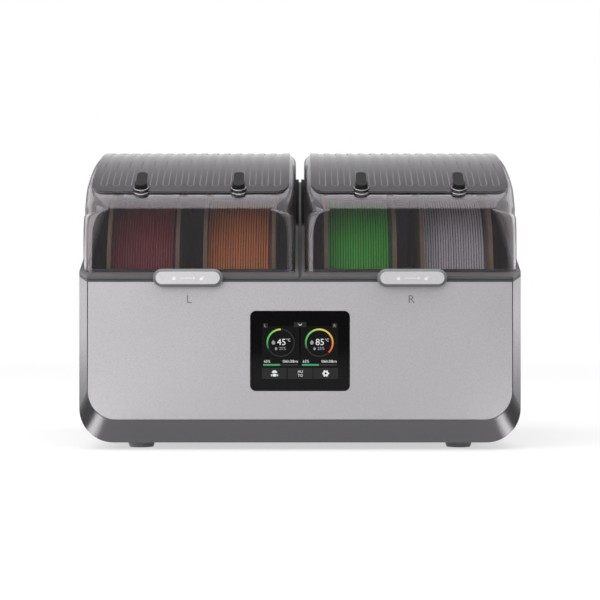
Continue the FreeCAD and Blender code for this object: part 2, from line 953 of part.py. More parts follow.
def lid_knuckle(centre):
    half = hinge_lid_width / 2
    barrel = bar_x(centre - half, centre + half, hinge_setback, hinge_z, hinge_radius)
    web = box(
        centre - half, centre + half, lid_rear - lid_wall / 2, hinge_setback,
        hinge_z - hinge_radius / 2, hinge_z + hinge_radius,
    )
    return barrel.fuse(web)


def lid_shell(side, blank):
    hollow = lid_block(side, lid_wall)
    shell = lid_block(side, 0).cut(hollow)
    shell = shell.common(rim_slab(frame_thickness + lid_rest_gap, blank_top))
    added = [lid_flange(side, blank, hollow)]
    added += [lid_knuckle(centre) for centre in hinge_centres(side)]
    added += [outlet_bar(x, boss_radius, -boss_root, boss_height) for x in lid_outlets(side)]
    shell = fuse([shell] + added)
    cuts = [outlet_bar(x, bush_radius, -2 * boss_root, 2 * boss_height) for x in lid_outlets(side)]
    pin = bar_x(-case_half, case_half, hinge_setback, hinge_z, hinge_pin_radius + running_gap)
    return shell.cut(cuts + [pin]).removeSplitter()


def crown_layer(low, high, x0, x1):
    # A layer over the crown, between two heights above the shell
    outer = bar_x(x0, x1, crown_setback, crown_z, crown_radius + high)
    return outer.cut(bar_x(x0, x1, crown_setback, crown_z, crown_radius + low))


def lid_ribs(side):
    middle = side * chamber_x
    half = lid_half - shoulder_radius - rib_panel_margin
    plan = soft_box(
        middle - half, middle + half, rib_panel_front, rib_panel_rear,
        panel_top, blank_top, rib_panel_corner, along_z,
    )
    top = rib_bond + rib_panel_thickness
    panel = crown_layer(rib_bond, top, middle - half, middle + half).common(plan)
    flutes = []
    for row in range(flute_count):
        x = middle + (row - (flute_count - 1) / 2) * flute_pitch
        flutes.append(soft_box(
            x - flute_width / 2, x + flute_width / 2, flute_front, flute_rear,
            panel_top, blank_top, flute_width * slot_end_round, along_z,
        ))
    groove = crown_layer(top - flute_depth, top + flute_depth, middle - half, middle + half)
    cuts = [groove.common(flute) for flute in flutes]
    room = boss_radius + lid_clearance
    cuts += [outlet_bar(x, room, -boss_root, 2 * boss_height) for x in lid_outlets(side)]
    return panel.cut(cuts)


def outlet_bush(x):
    barrel = outlet_bar(x, bush_radius, -boss_root, boss_height)
    rim = outlet_bar(x, bush_flange_radius, boss_height, boss_height + bush_flange)
    return fuse([barrel, rim]).cut(outlet_bar(x, outlet_bore_radius, -2 * boss_root, 3 * boss_height))


def outlet_plug(x):
    foot, out, up_slope = outlet_frame()
    seat = boss_height + bush_flange + lid_clearance
    cap = outlet_bar(x, plug_cap_radius, seat, seat + plug_cap)
    pin = outlet_bar(x, outlet_bore_radius - plug_gap, seat - plug_pin, seat)
    corners = []
    for along, over in ((0, 0), (tab_length, 0), (tab_length, tab_thickness), (0, tab_thickness)):
        corners.append(foot + along_x * (x - tab_width / 2) + up_slope * along + out * (seat + over))
    tab = Part.Face(Part.makePolygon(corners + [corners[0]])).extrude(along_x * tab_width)
    tip = []
    for edge in tab.Edges:
        at_tip = (edge.CenterOfMass - foot).dot(up_slope) > tab_length - 0.01
        if at_tip and edge.BoundBox.XLength < 0.01:
            tip.append(edge)
    return fuse([cap, pin, tab.makeFillet(tab_tip_round, tip)])


# Latches

def stadium(x, length, z0, z1, setback0, setback1):
    # A bar with round ends, built from two rounds and the block between them
    radius = (z1 - z0) / 2
    reach = length / 2 - radius
    depth = setback1 - setback0
    solids = [box(x - reach, x + reach, setback0, setback1, z0, z1)]
    for step in (-reach, reach):
        solids.append(Part.makeCylinder(radius, depth, at(x + step, setback0, z0 + radius), along_y))
    return fuse(solids)


def guide_span():
    low = rim_z(0) + frame_thickness + lid_rest_gap + flange_height + guide_lift
    return low, low + guide_height


def latch_guide(side):
    # The rail on the front of the lid that the latch slides along
    low, high = guide_span()
    x = side * chamber_x
    rail = soft_box(
        x - guide_length / 2, x + guide_length / 2, -guide_nose, lid_setback,
        low, high, guide_round, along_y,
    )
    return rail.cut(rim_slab(-blank_top, frame_thickness + lid_rest_gap + flange_height))


def latch(side):
    x = side * chamber_x
    low, high = guide_span()
    body = stadium(x, latch_length, latch_bottom, latch_top, -latch_face, -latch_back)
    face_y = front_y - latch_face
    rim = [e for e in body.Edges if abs(e.BoundBox.YMax - face_y) < 0.01]
    body = body.makeChamfer(latch_bevel, rim)
    pocket = box(
        x - guide_length / 2 - latch_gap, x + guide_length / 2 + latch_gap + latch_travel,
        -guide_nose - latch_gap, 0, low - latch_gap, high + latch_gap,
    )
    middle = tongue_centre(side)
    base = latch_bottom + tongue_rise
    tongue = box(
        middle - tongue_width / 2, middle + tongue_width / 2, -latch_back - latch_gap, tongue_reach,
        base, base + tongue_thickness,
    )
    hook = box(
        middle - tongue_width / 2, middle + tongue_width / 2, tongue_reach - hook_length, tongue_reach,
        base, base + tongue_thickness + hook_height,
    )
    return fuse([body.cut(pocket), tongue, hook])


# Display, electronics and mains entry

def display_glass():
    return soft_box(
        -glass_width / 2, glass_width / 2, 0, panel_thickness,
        glass_centre - glass_height / 2, glass_centre + glass_height / 2, glass_corner, along_y,
    )


def display_module():
    half_x = module_width / 2
    half_z = module_height / 2
    back = panel_thickness + module_thickness
    frame = box(-half_x, half_x, panel_thickness, back, glass_centre - half_z, glass_centre + half_z)
    board = box(
        -half_x - driver_margin, half_x + driver_margin, back, back + driver_thickness,
        glass_centre - half_z - driver_margin, glass_centre + half_z + driver_margin,
    )
    low = glass_centre - half_z
    plug = box(
        -ribbon_plug_width / 2, ribbon_plug_width / 2, back, back + ribbon_plug_depth,
        low, low + ribbon_plug_height,
    )
    return fuse([frame, board, plug])


def control_board():
    half = board_width / 2
    top = inner_bottom + standoff_height + board_thickness
    plate = box(-half, half, board_front, board_front + board_length, top - board_thickness, top)
    middle = board_front + board_length / 2
    chip_half = chip_side / 2
    chip = box(-chip_half, chip_half, middle - chip_half, middle + chip_half, top, top + chip_height)
    relay_x = half - board_edge - relay_width
    relay = box(relay_x, relay_x + relay_width, middle, middle + relay_length, top, top + relay_height)
    header_x = board_edge - half
    header_front = board_front + board_edge
    header = box(
        header_x, header_x + header_length, header_front, header_front + header_width,
        top, top + header_height,
    )
    return fuse([plate, chip, relay, header])


def power_supply():
    half = supply_width / 2
    top = inner_bottom + supply_height
    can = box(-half, half, supply_front, supply_front + supply_length, inner_bottom, top)
    slots = []
    for row in range(vent_slot_count):
        setback = supply_front + supply_length / 2 + (row - (vent_slot_count - 1) / 2) * vent_slot_pitch
        slots.append(box(
            -half / 2, half / 2, setback - vent_slot_width / 2, setback + vent_slot_width / 2,
            top - case_wall, top + cut_over,
        ))
    return can.cut(slots)


def rocker_centre():
    return inlet_centre + rocker_rise


rocker_axis_setback = case_depth + inlet_flange - rocker_depth / 2


def power_inlet():
    face = case_depth + inlet_flange
    half_x = inlet_flange_width / 2
    half_z = inlet_flange_height / 2
    flange = soft_box(
        inlet_x - half_x, inlet_x + half_x, case_depth, face,
        inlet_centre - half_z, inlet_centre + half_z, inlet_body_margin, along_y,
    )
    body = inlet_block(0, case_depth - inlet_body_depth, case_depth)
    low = inlet_centre - socket_drop
    socket = soft_box(
        inlet_x - socket_width / 2, inlet_x + socket_width / 2,
        face - socket_depth, face + cut_over,
        low - socket_height / 2, low + socket_height / 2, inlet_body_margin, along_y,
    )
    well = box(
        inlet_x - rocker_width / 2 - rocker_gap, inlet_x + rocker_width / 2 + rocker_gap,
        face - rocker_depth - rocker_well_gap, face + cut_over,
        rocker_centre() - rocker_height / 2 - rocker_gap, rocker_centre() + rocker_height / 2 + rocker_gap,
    )
    prongs = []
    for step, lift in ((-1, -prong_lift), (0, prong_lift), (1, -prong_lift)):
        x = inlet_x + step * prong_spacing
        root = face - socket_depth - cut_over
        prongs.append(box(
            x - prong_thickness / 2, x + prong_thickness / 2, root, root + prong_length,
            low + lift - prong_width / 2, low + lift + prong_width / 2,
        ))
    pivot_half = half_x - inlet_body_margin
    pivot = bar_x(
        inlet_x - pivot_half, inlet_x + pivot_half, rocker_axis_setback, rocker_centre(), rocker_pin_radius,
    )
    return fuse([fuse([flange, body]).cut([socket, well]), pivot] + prongs)


def power_rocker():
    half = rocker_height / 2 - rocker_gap
    reach = rocker_depth / 2
    points = [
        (-reach, -half * rocker_taper),
        (-reach, half * rocker_taper),
        (reach - rocker_sink, half),
        (reach - rocker_sink / 2, 0),
        (reach - rocker_sink, -half),
    ]
    outline = [(rocker_axis_setback + setback, rocker_centre() + z) for setback, z in points]
    key = side_prism(outline, inlet_x - rocker_width / 2, inlet_x + rocker_width / 2)
    key = key.cut(bar_x(
        inlet_x - rocker_width, inlet_x + rocker_width,
        rocker_axis_setback, rocker_centre(), rocker_pin_radius + running_gap,
    ))
    key.rotate(at(inlet_x, rocker_axis_setback, rocker_centre()), along_x, rocker_tilt)
    return key


# Heaters, fans and sensors

def heater(side):
    half = heater_side / 2
    x = side * chamber_x
    low = floor_under - heater_height
    block = box(x - half, x + half, spool_setback - half, spool_setback + half, low, floor_under)
    inner = half - heater_frame
    gap = (2 * inner - fin_count * fin_thickness) / (fin_count + 1)
    slots = []
    for row in range(fin_count + 1):
        left = x - inner + row * (gap + fin_thickness)
        slots.append(box(
            left, left + gap, spool_setback - inner, spool_setback + inner,
            low - cut_over, floor_under + cut_over,
        ))
    return block.cut(slots)


def fan_top():
    return floor_under - heater_height


def fan_frame(side):
    half = heater_side / 2
    x = side * chamber_x
    high = fan_top()
    low = high - fan_height
    body = soft_box(
        x - half, x + half, spool_setback - half, spool_setback + half, low, high, heater_frame, along_z,
    )
    bore_height = fan_height + 2 * cut_over
    bore = Part.makeCylinder(fan_bore_radius, bore_height, at(x, spool_setback, low - cut_over))
    motor = Part.makeCylinder(fan_motor_radius, fan_motor_height, at(x, spool_setback, low))
    shaft = Part.makeCylinder(fan_shaft_radius, fan_height - fan_hub_skin, at(x, spool_setback, low))
    reach = fan_bore_radius + fan_spoke_seat
    spokes = [
        box(x - reach, x + reach, spool_setback - fan_spoke_width / 2, spool_setback + fan_spoke_width / 2,
            low, low + fan_motor_height),
        box(x - fan_spoke_width / 2, x + fan_spoke_width / 2, spool_setback - reach, spool_setback + reach,
            low, low + fan_motor_height),
    ]
    return fuse([body.cut(bore), motor, shaft] + spokes)


def fan_rotor(side):
    x = side * chamber_x
    low = fan_top() - fan_height + fan_motor_height + fan_motor_gap
    high = fan_top() - fan_top_gap
    hub = Part.makeCylinder(fan_hub_radius, high - low, at(x, spool_setback, low))
    tip = fan_bore_radius - fan_tip_gap
    middle = (low + high) / 2
    blades = []
    for step in range(blade_count):
        blade = Part.makeBox(
            tip, blade_thickness, blade_chord,
            FreeCAD.Vector(fan_hub_radius / 2, -blade_thickness / 2, -blade_chord / 2),
        )
        blade.rotate(FreeCAD.Vector(0, 0, 0), along_x, blade_pitch)
        blade.rotate(FreeCAD.Vector(0, 0, 0), along_z, 360.0 * step / blade_count)
        blade.translate(at(x, spool_setback, middle))
        blades.append(blade)
    room = Part.makeCylinder(tip, high - low, at(x, spool_setback, low))
    bore_depth = fan_top() - fan_hub_skin + fan_motor_gap - low
    bore = Part.makeCylinder(fan_shaft_radius + running_gap, bore_depth, at(x, spool_setback, low))
    return fuse([hub] + blades).common(room).cut(bore).removeSplitter()


def sensor(side):
    x = side * chamber_x
    half = sensor_height / 2
    return soft_box(
        x - sensor_width / 2, x + sensor_width / 2, chamber_rear - sensor_depth, chamber_rear,
        sensor_centre - half, sensor_centre + half, sensor_round, along_y,
    )


def main():
    os.makedirs("parts", exist_ok=True)
    blank = case_blank()
    save("outer_shell", outer_shell(blank))
    save("front_panel", front_panel())
    save("rear_cover", rear_cover())
    save("base_cover", base_cover())
    save("rubber_feet", *feet())
    save("case_screws", *all_screws(0))
    save("top_frame", top_frame(blank))
    save("hinge_pins", *hinge_pins())
    save("lid_seals", *[seal_ring(side, 0) for side in sides.values()])
    save("roller_axles", *roller_axles())
    save("roller_bearings", *roller_bearings())
    save("display_glass", display_glass())
    save("display_module", display_module())
    save("control_board", control_board())
    save("power_supply", power_supply())
    save("power_inlet", power_inlet())
    save("power_rocker", power_rocker())
    save("heaters", *[heater(side) for side in sides.values()])
    save("fan_frames", *[fan_frame(side) for side in sides.values()])
    save("humidity_sensors", *[sensor(side) for side in sides.values()])
    for name, side in sides.items():
        save(name + "_chamber_liner", chamber_liner(side))
        save(name + "_fan_rotor", fan_rotor(side))
        save(name + "_lid_shell", lid_shell(side, blank))
        save(name + "_lid_ribs", lid_ribs(side))
        save(name + "_latch_guide", latch_guide(side))
        save(name + "_latch", latch(side))
        save(name + "_outlet_bushes", *[outlet_bush(x) for x in lid_outlets(side)])
    first = spool_places()[0]
    turns = winding_turns(first)
    for number, x in enumerate(spool_places(), 1):
        save(f"spool_{number}", *spool_reel(x))
        save(f"filament_{number}_core", winding_core(x))
        save(f"filament_{number}_turns", turns.translated(along_x * (x - first)))
        save(f"outlet_plug_{number}", outlet_plug(x))
        for end, setback in roller_setbacks().items():
            save(f"roller_{number}_{end}", roller(x, setback))


main()
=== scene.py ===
import math

import bmesh
import bpy
from mathutils import Matrix, Vector, noise


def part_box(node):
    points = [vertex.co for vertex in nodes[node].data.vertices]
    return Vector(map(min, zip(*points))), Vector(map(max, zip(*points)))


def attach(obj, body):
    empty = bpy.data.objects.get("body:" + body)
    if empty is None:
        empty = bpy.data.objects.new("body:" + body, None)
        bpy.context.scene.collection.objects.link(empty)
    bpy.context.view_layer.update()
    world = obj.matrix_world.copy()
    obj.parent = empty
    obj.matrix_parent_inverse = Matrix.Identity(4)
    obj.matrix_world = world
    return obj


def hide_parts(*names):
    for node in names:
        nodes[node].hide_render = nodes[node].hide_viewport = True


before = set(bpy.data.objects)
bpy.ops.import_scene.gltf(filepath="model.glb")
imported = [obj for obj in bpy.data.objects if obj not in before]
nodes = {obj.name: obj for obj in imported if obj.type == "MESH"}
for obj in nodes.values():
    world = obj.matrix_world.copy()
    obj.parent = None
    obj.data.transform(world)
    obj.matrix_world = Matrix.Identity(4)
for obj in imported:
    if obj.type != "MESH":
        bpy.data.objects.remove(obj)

scene = bpy.context.scene
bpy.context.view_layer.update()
print("frame:", len(nodes), "nodes")

mm = 0.001
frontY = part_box("front_panel")[0].y


# node tree helpers

def join(tree, value, socket):
    if isinstance(value, bpy.types.NodeSocket):
        tree.links.new(value, socket)
    elif value is not None:
        socket.default_value = value


def feed(tree, inputs, **sockets):
    # a low line in a key stands for the space in the socket's name
    for key, value in sockets.items():
        join(tree, value, inputs[key.replace("_", " ")])


def put(tree, kind, settings=None, values=(), **sockets):
    node = tree.nodes.new("ShaderNode" + kind)
    for key, value in (settings or {}).items():
        setattr(node, key, value)
    feed(tree, node.inputs, **sockets)
    for socket, value in zip(node.inputs, values):
        join(tree, value, socket)
    return node


def compute(tree, operation, first, second=0.0, third=None):
    return put(tree, "Math", {"operation": operation}, [first, second, third]).outputs[0]


def spread(tree, value, low, high, toLow=0.0, toHigh=1.0):
    return put(tree, "MapRange", values=[value, low, high, toLow, toHigh]).outputs[0]


def speckle(tree, place, scale, detail, **more):
    return put(tree, "TexNoise", Vector=place, Scale=scale, Detail=detail, **more).outputs[0]


def blend(tree, first, second, share):
    # sum of two values, in which the second has the given share
    parts = [compute(tree, "MULTIPLY", first, 1 - share), compute(tree, "MULTIPLY", second, share)]
    return compute(tree, "ADD", *parts)


def sway(tree, rough, value, span):
    # roughness that goes up and down with a value round one half
    drift = compute(tree, "MULTIPLY", compute(tree, "SUBTRACT", value, 0.5), span)
    return compute(tree, "ADD", rough, drift)


def ramp(tree, factor, stops):
    node = put(tree, "ValToRGB", Fac=factor)
    band = node.color_ramp
    while len(band.elements) < len(stops):
        band.elements.new(0.5)
    for element, (place, colour) in zip(band.elements, stops):
        element.position = place
        element.color = (*colour, 1.0)
    return node.outputs["Color"]


def shade(tree, colour, factor, low, high):
    # colour times a value that runs from low to high with the factor
    level = spread(tree, factor, 0.0, 1.0, low, high)
    tone = put(tree, "CombineColor", values=[level] * 3).outputs[0]
    node = put(tree, "Mix", {"data_type": "RGBA", "blend_type": "MULTIPLY"})
    # the factor and the two colours, which share their names with other sockets of the node
    for socket, value in ((0, 1.0), (6, colour), (7, tone)):
        join(tree, value, node.inputs[socket])
    return node.outputs[2]


def vary(tree, colour, factor, span):
    return shade(tree, colour, factor, compute(tree, "SUBTRACT", 1.0, span), compute(tree, "ADD", 1.0, span))


def socketKind(label):
    return "NodeSocketColor" if label == "Colour" else "NodeSocketFloat"


def newGroup(name, inputs, outputs):
    group = bpy.data.node_groups.new(name, "ShaderNodeTree")
    for label, default in inputs.items():
        socket = group.interface.new_socket(label, in_out="INPUT", socket_type=socketKind(label))
        socket.default_value = default
    for label in outputs:
        group.interface.new_socket(label, in_out="OUTPUT", socket_type=socketKind(label))
    entry = group.nodes.new("NodeGroupInput").outputs
    leave = group.nodes.new("NodeGroupOutput").inputs
    return group, entry, leave


def grey(level, tint=0.0):
    return (level, level, level * (1 + tint), 1.0)


def objectPlace(tree, scale=(1, 1, 1)):
    place = put(tree, "TexCoord").outputs["Object"]
    return put(tree, "Mapping", Vector=place, Scale=scale).outputs[0]


def coordinate(tree, space, name):
    return put(tree, "SeparateXYZ", Vector=put(tree, "TexCoord").outputs[space]).outputs[name]


# shared finishes

finishOutputs = ("Colour", "Roughness", "Height")
mouldLook = {"grain": 1800.0, "tone": 0.12, "cloud": 38.0, "cloudShare": 0.4, "sway": 0.25, "depth": 0.00004}


def mouldGrainGroup(look):
    # spark-eroded mould texture: fine pits over slow cloudy tone
    group, entry, leave = newGroup(
        "mouldGrain",
        {"Colour": grey(0.2), "Grain": look["grain"], "Rough": 0.55, "Tone": look["tone"]},
        finishOutputs,
    )
    place = objectPlace(group)
    fine = speckle(group, place, entry["Grain"], detail=2.0)
    cloud = speckle(group, place, look["cloud"], detail=4.0)
    both = blend(group, fine, cloud, look["cloudShare"])
    feed(
        group, leave, Colour=vary(group, entry["Colour"], both, entry["Tone"]),
        Roughness=sway(group, entry["Rough"], cloud, look["sway"]), Height=fine,
    )
    return group


flakeLook = {"flake": 3200.0, "sparkle": 0.14, "smear": 24.0, "sway": 0.12, "peel": 420.0, "depth": 0.000006}


def paintFlakeGroup(look):
    # metallic paint: tiny bright flakes and a slow orange peel
    group, entry, leave = newGroup(
        "paintFlake",
        {"Colour": grey(0.5), "Flake": look["flake"], "Rough": 0.35, "Sparkle": look["sparkle"]},
        finishOutputs,
    )
    place = objectPlace(group)
    flake = put(group, "TexVoronoi", Vector=place, Scale=entry["Flake"]).outputs["Color"]
    bright = put(group, "SeparateColor", Color=flake).outputs[0]
    smear = speckle(group, place, look["smear"], detail=5.0)
    feed(
        group, leave, Colour=vary(group, entry["Colour"], bright, entry["Sparkle"]),
        Roughness=sway(group, entry["Rough"], smear, look["sway"]),
        Height=speckle(group, place, look["peel"], detail=1.0),
    )
    return group


handlingLook = {"slow": 16.0, "bend": 0.6, "streak": (0.5, 0.75)}


def handlingGroup(look):
    # faint smears on a polished face
    group, entry, leave = newGroup("handling", {"Rough": 0.05, "Smear": 0.06}, ["Roughness"])
    slow = speckle(group, objectPlace(group), look["slow"], detail=6.0, Distortion=look["bend"])
    smear = compute(group, "MULTIPLY", spread(group, slow, *look["streak"]), entry["Smear"])
    feed(group, leave, Roughness=compute(group, "ADD", entry["Rough"], smear))
    return group


brushedLook = {"stretch": (30, 2600, 2600), "tone": (0.82, 1.12), "sway": 0.2, "depth": 0.00001}


def brushedGroup(look):
    # drawn or ground metal, with lines along X
    group, entry, leave = newGroup("brushed", {"Colour": grey(0.6), "Rough": 0.3}, finishOutputs)
    line = speckle(group, objectPlace(group, look["stretch"]), 1.0, detail=3.0)
    feed(
        group, leave, Colour=shade(group, entry["Colour"], line, *look["tone"]),
        Roughness=sway(group, entry["Rough"], line, look["sway"]), Height=line,
    )
    return group


mouldGrain = mouldGrainGroup(mouldLook)
paintFlake = paintFlakeGroup(flakeLook)
handling = handlingGroup(handlingLook)
brushed = brushedGroup(brushedLook)


def startMaterial(name):
    material = bpy.data.materials.new(name)
    material.use_nodes = True
    tree = material.node_tree
    tree.nodes.clear()
    surface = put(tree, "BsdfPrincipled")
    put(tree, "OutputMaterial", Surface=surface.outputs[0])
    return material, tree, surface.inputs


def useGroup(tree, group, **sockets):
    node = tree.nodes.new("ShaderNodeGroup")
    node.node_tree = group
    feed(tree, node.inputs, **sockets)
    return node.outputs


def bump(tree, height, distance):
    return put(tree, "Bump", Height=height, Distance=distance, Strength=1.0).outputs[0]


def finished(name, group, depth, constants, **sockets):
    # a material that takes colour, roughness and bump from one shared finish
    material, tree, surface = startMaterial(name)
    finish = useGroup(tree, group, **sockets)
    feed(
        tree, surface, Base_Color=finish["Colour"], Roughness=finish["Roughness"],
        Normal=bump(tree, finish["Height"], depth), **constants,
    )
    return material


def mouldedPlastic(name, colour, rough, grain=mouldLook["grain"], specular=0.4):
    gloss = {"Specular_IOR_Level": specular}
    return finished(name, mouldGrain, mouldLook["depth"], gloss, Colour=colour, Rough=rough, Grain=grain)


def metallicPaint(name, colour, metallic, rough, sparkle=flakeLook["sparkle"]):
    metal = {"Metallic": metallic}
    return finished(name, paintFlake, flakeLook["depth"], metal, Colour=colour, Rough=rough, Sparkle=sparkle)


latchLook = {
    "face": (0.57, 0.556, 0.574), "chamferShade": (0.12, 0.12, 0.125), "turned": (-0.8, -0.98), "metallic": 0.3,
    "rough": 0.4, "sparkle": 0.1,
}


def latchPaint(name):
    # pale paint on the flat face, and painted shade darkens the chamfer round it as it turns away from the
    # front
    look = latchLook
    material = metallicPaint(name, (*look["face"], 1.0), look["metallic"], look["rough"], look["sparkle"])
    tree = material.node_tree
    # painted shade: the colour darkens where the surface turns away from the front
    flat = spread(tree, coordinate(tree, "Normal", "Y"), *look["turned"])
    tone = ramp(tree, flat, [(0.0, look["chamferShade"]), (1.0, look["face"])])
    feed(tree, tree.nodes["Group"].inputs, Colour=tone)
    return material


def drawnMetal(name, colour, rough):
    return finished(name, brushed, brushedLook["depth"], {"Metallic": 1.0}, Colour=colour, Rough=rough)


polishLook = {"cloud": 60.0, "tone": (0.85, 1.15)}


def polished(name, colour, rough, smear=0.05, specular=0.5):
    material, tree, surface = startMaterial(name)
    cloud = speckle(tree, objectPlace(tree), polishLook["cloud"], detail=3.0)
    finish = useGroup(tree, handling, Rough=rough, Smear=smear)
    feed(
        tree, surface, Base_Color=shade(tree, colour, cloud, *polishLook["tone"]),
        Roughness=finish["Roughness"], Specular_IOR_Level=specular,
    )
    return material


def overlay(tree, factor, shader):
    # mixes another shader over what the material shows so far
    leave = tree.nodes["Material Output"].inputs["Surface"]
    below = leave.links[0].from_socket
    both = put(tree, "MixShader", values=[factor, below, shader.outputs[0]])
    join(tree, both.outputs[0], leave)


# the side colour is painted shade on the walls that face sideways
smokedLook = {
    "face": (0.57, 0.545, 0.565), "side": (0.4, 0.39, 0.405), "fade": (0.2, 0.75), "ior": 1.49,
    "shadow": (0.95, 0.94, 0.95, 1.0), "gloss": (1.0, 0.945, 0.99, 1.0), "rough": 0.02, "smear": 0.03,
    "sideRough": 0.16,
}


def smokedClear(name):
    look = smokedLook
    material, tree, surface = startMaterial(name)
    finish = useGroup(tree, handling, Rough=look["rough"], Smear=look["smear"])
    # the sides have a fine frost, and a deeper tint that paints shade on them; both fade out over the
    # shoulders
    facing = compute(tree, "ABSOLUTE", coordinate(tree, "Normal", "X"))
    aside = spread(tree, facing, *look["fade"])
    feed(
        tree, surface, Roughness=compute(tree, "MULTIPLY_ADD", aside, look["sideRough"], finish["Roughness"]),
        Base_Color=ramp(tree, aside, [(0.0, look["face"]), (1.0, look["side"])]),
        Specular_Tint=look["gloss"], Transmission_Weight=1.0, IOR=look["ior"],
    )
    # lamps reach the chambers through the tinted wall
    clear = put(tree, "BsdfTransparent", Color=look["shadow"])
    ray = put(tree, "LightPath").outputs["Is Shadow Ray"]
    overlay(tree, ray, clear)
    return material


flangeLook = {
    "span": (-0.132, 0.118), "rough": (0.4, 0.95), "dull": (0.46, 0.5),
    "paintedLightTones": [
        (0.0, (0.082, 0.078, 0.08)), (0.055, (0.03, 0.029, 0.03)), (0.46, (0.03, 0.029, 0.03)),
        (0.5, (0.006, 0.006, 0.006)),
    ],
}


def frostedEdge(name):
    # a painted reflection keeps the front edge lighter, painted shade darkens the flange towards the rear,
    # and the rear half is dull
    look = flangeLook
    material = mouldedPlastic(name, grey(0.1), look["rough"][0])
    tree = material.node_tree
    back = spread(tree, coordinate(tree, "Object", "Y"), *look["span"])
    feed(
        tree, tree.nodes["Group"].inputs, Colour=ramp(tree, back, look["paintedLightTones"]),
        Rough=spread(tree, back, *look["dull"], *look["rough"]),
    )
    return material


flutedLook = {
    "panel": (0.021, 0.0165, 0.0235), "line": (0.2, 0.19, 0.205), "gloss": (1.0, 0.945, 0.99, 1.0),
    "rough": 0.1, "smear": 0.06,
}


def flutedSmoke(name):
    # painted highlights: pale hairlines round the front ends of the flutes
    look = flutedLook
    material, tree, surface = startMaterial(name)
    line = put(tree, "Attribute", {"attribute_name": "fluteHighlight"}).outputs["Fac"]
    finish = useGroup(tree, handling, Rough=look["rough"], Smear=look["smear"])
    feed(
        tree, surface, Base_Color=ramp(tree, line, [(0.0, look["panel"]), (1.0, look["line"])]),
        Roughness=finish["Roughness"], Specular_Tint=look["gloss"],
    )
    return material


kraftLook = {
    "colour": (0.23, 0.175, 0.115, 1.0), "fibre": (900, 260, 900), "mottle": 55.0, "mottleShare": 0.5,
    "plies": 420.0, "bend": 2.0, "plyShare": 0.2, "tone": (0.62, 1.4), "depth": 0.00012, "rough": 0.85,
    "specular": 0.2,
}


def kraftCard(name):
    # uncoated board: fibres, slow mottling, and plies that show on the cut rim
    look = kraftLook
    material, tree, surface = startMaterial(name)
    place = objectPlace(tree)
    fibre = speckle(tree, objectPlace(tree, look["fibre"]), 1.0, detail=5.0)
    mottle = speckle(tree, place, look["mottle"], detail=4.0)
    bands = put(
        tree, "TexWave", {"bands_direction": "X"}, Vector=place, Scale=look["plies"], Distortion=look["bend"],
    )
    board = blend(tree, fibre, mottle, look["mottleShare"])
    tone = blend(tree, board, bands.outputs[1], look["plyShare"])
    feed(
        tree, surface, Base_Color=shade(tree, look["colour"], tone, *look["tone"]), Roughness=look["rough"],
        Specular_IOR_Level=look["specular"], Normal=bump(tree, fibre, look["depth"]),
    )
    return material


filamentLook = {
    "turn": (560, 6, 6), "slow": 22.0, "slowShare": 0.25, "tone": (0.75, 1.4), "rough": 0.34,
    "specular": 0.25,
}


def filamentPlastic(name, colour):
    # drawn plastic: each turn has its own tone, with a soft gloss
    look = filamentLook
    material, tree, surface = startMaterial(name)
    turn = speckle(tree, objectPlace(tree, look["turn"]), 1.0, detail=1.0)
    slow = speckle(tree, objectPlace(tree), look["slow"], detail=2.0)
    tone = blend(tree, turn, slow, look["slowShare"])
    feed(
        tree, surface, Base_Color=shade(tree, colour, tone, *look["tone"]), Roughness=look["rough"],
        Specular_IOR_Level=look["specular"],
    )
    return material


finishes = {
    "gunmetal": metallicPaint("gunmetalPaint", (0.105, 0.1015, 0.106, 1.0), metallic=0.9, rough=0.24),
    "silverFace": metallicPaint("silverFace", (0.41, 0.398, 0.412, 1.0), metallic=0.6, rough=0.5),
    "latchSilver": latchPaint("latchSilver"),
    "footRubber": mouldedPlastic("footRubber", grey(0.3, 0.02), rough=0.7, grain=900.0),
    "plugRubber": mouldedPlastic("plugRubber", grey(0.012, 0.03), rough=0.5, specular=0.08),
    "bushBlack": polished("bushBlack", grey(0.012), rough=0.08),
    "screenGlass": polished("screenGlass", grey(0.003, 0.2), rough=0.06, smear=0.04, specular=0.12),
    "boardGreen": polished("boardGreen", (0.02, 0.12, 0.05, 1.0), rough=0.3),
    "steel": drawnMetal("steel", grey(0.55, 0.02), rough=0.28),
    "finMetal": drawnMetal("finMetal", grey(0.6, 0.01), rough=0.36),
    "smokedLid": smokedClear("smokedLid"),
    "frosted": frostedEdge("frostedFlange"),
    "bossHighlight": mouldedPlastic("bossHighlight", grey(0.8, 0.01), rough=0.2, specular=0.5),
    "ribSmoke": flutedSmoke("ribSmoke"),
    "kraft": kraftCard("kraftCard"),
}
# level, tint and roughness
plastics = {
    "rimDark": (0.04, 0.04, 0.45), "linerBlack": (0.04, 0.06, 0.5), "partBlack": (0.03, 0.04, 0.5),
    "rollerGrey": (0.16, 0.03, 0.4), "sensorGrey": (0.4, 0.02, 0.5), "sealRubber": (0.035, 0.02, 0.6),
}
for name, (level, tint, rough) in plastics.items():
    finishes[name] = mouldedPlastic(name, grey(level, tint), rough)
# outer turns, and the layer behind them, whose darker colour paints the shade in the gaps between turns
filaments = {
    "red": ((0.34, 0.064, 0.074, 1.0), (0.07, 0.016, 0.02, 1.0)),
    "orange": ((0.84, 0.3, 0.09, 1.0), (0.19, 0.06, 0.02, 1.0)),
    "green": ((0.085, 0.68, 0.06, 1.0), (0.02, 0.16, 0.018, 1.0)),
    "grey": ((0.77, 0.76, 0.79, 1.0), (0.16, 0.158, 0.165, 1.0)),
}
for colour, (outer, core) in filaments.items():
    finishes[colour] = filamentPlastic("filament" + colour.title(), outer)
    finishes[colour + "Core"] = filamentPlastic(f"filament{colour.title()}Core", core)
print("finishes:", len(finishes))

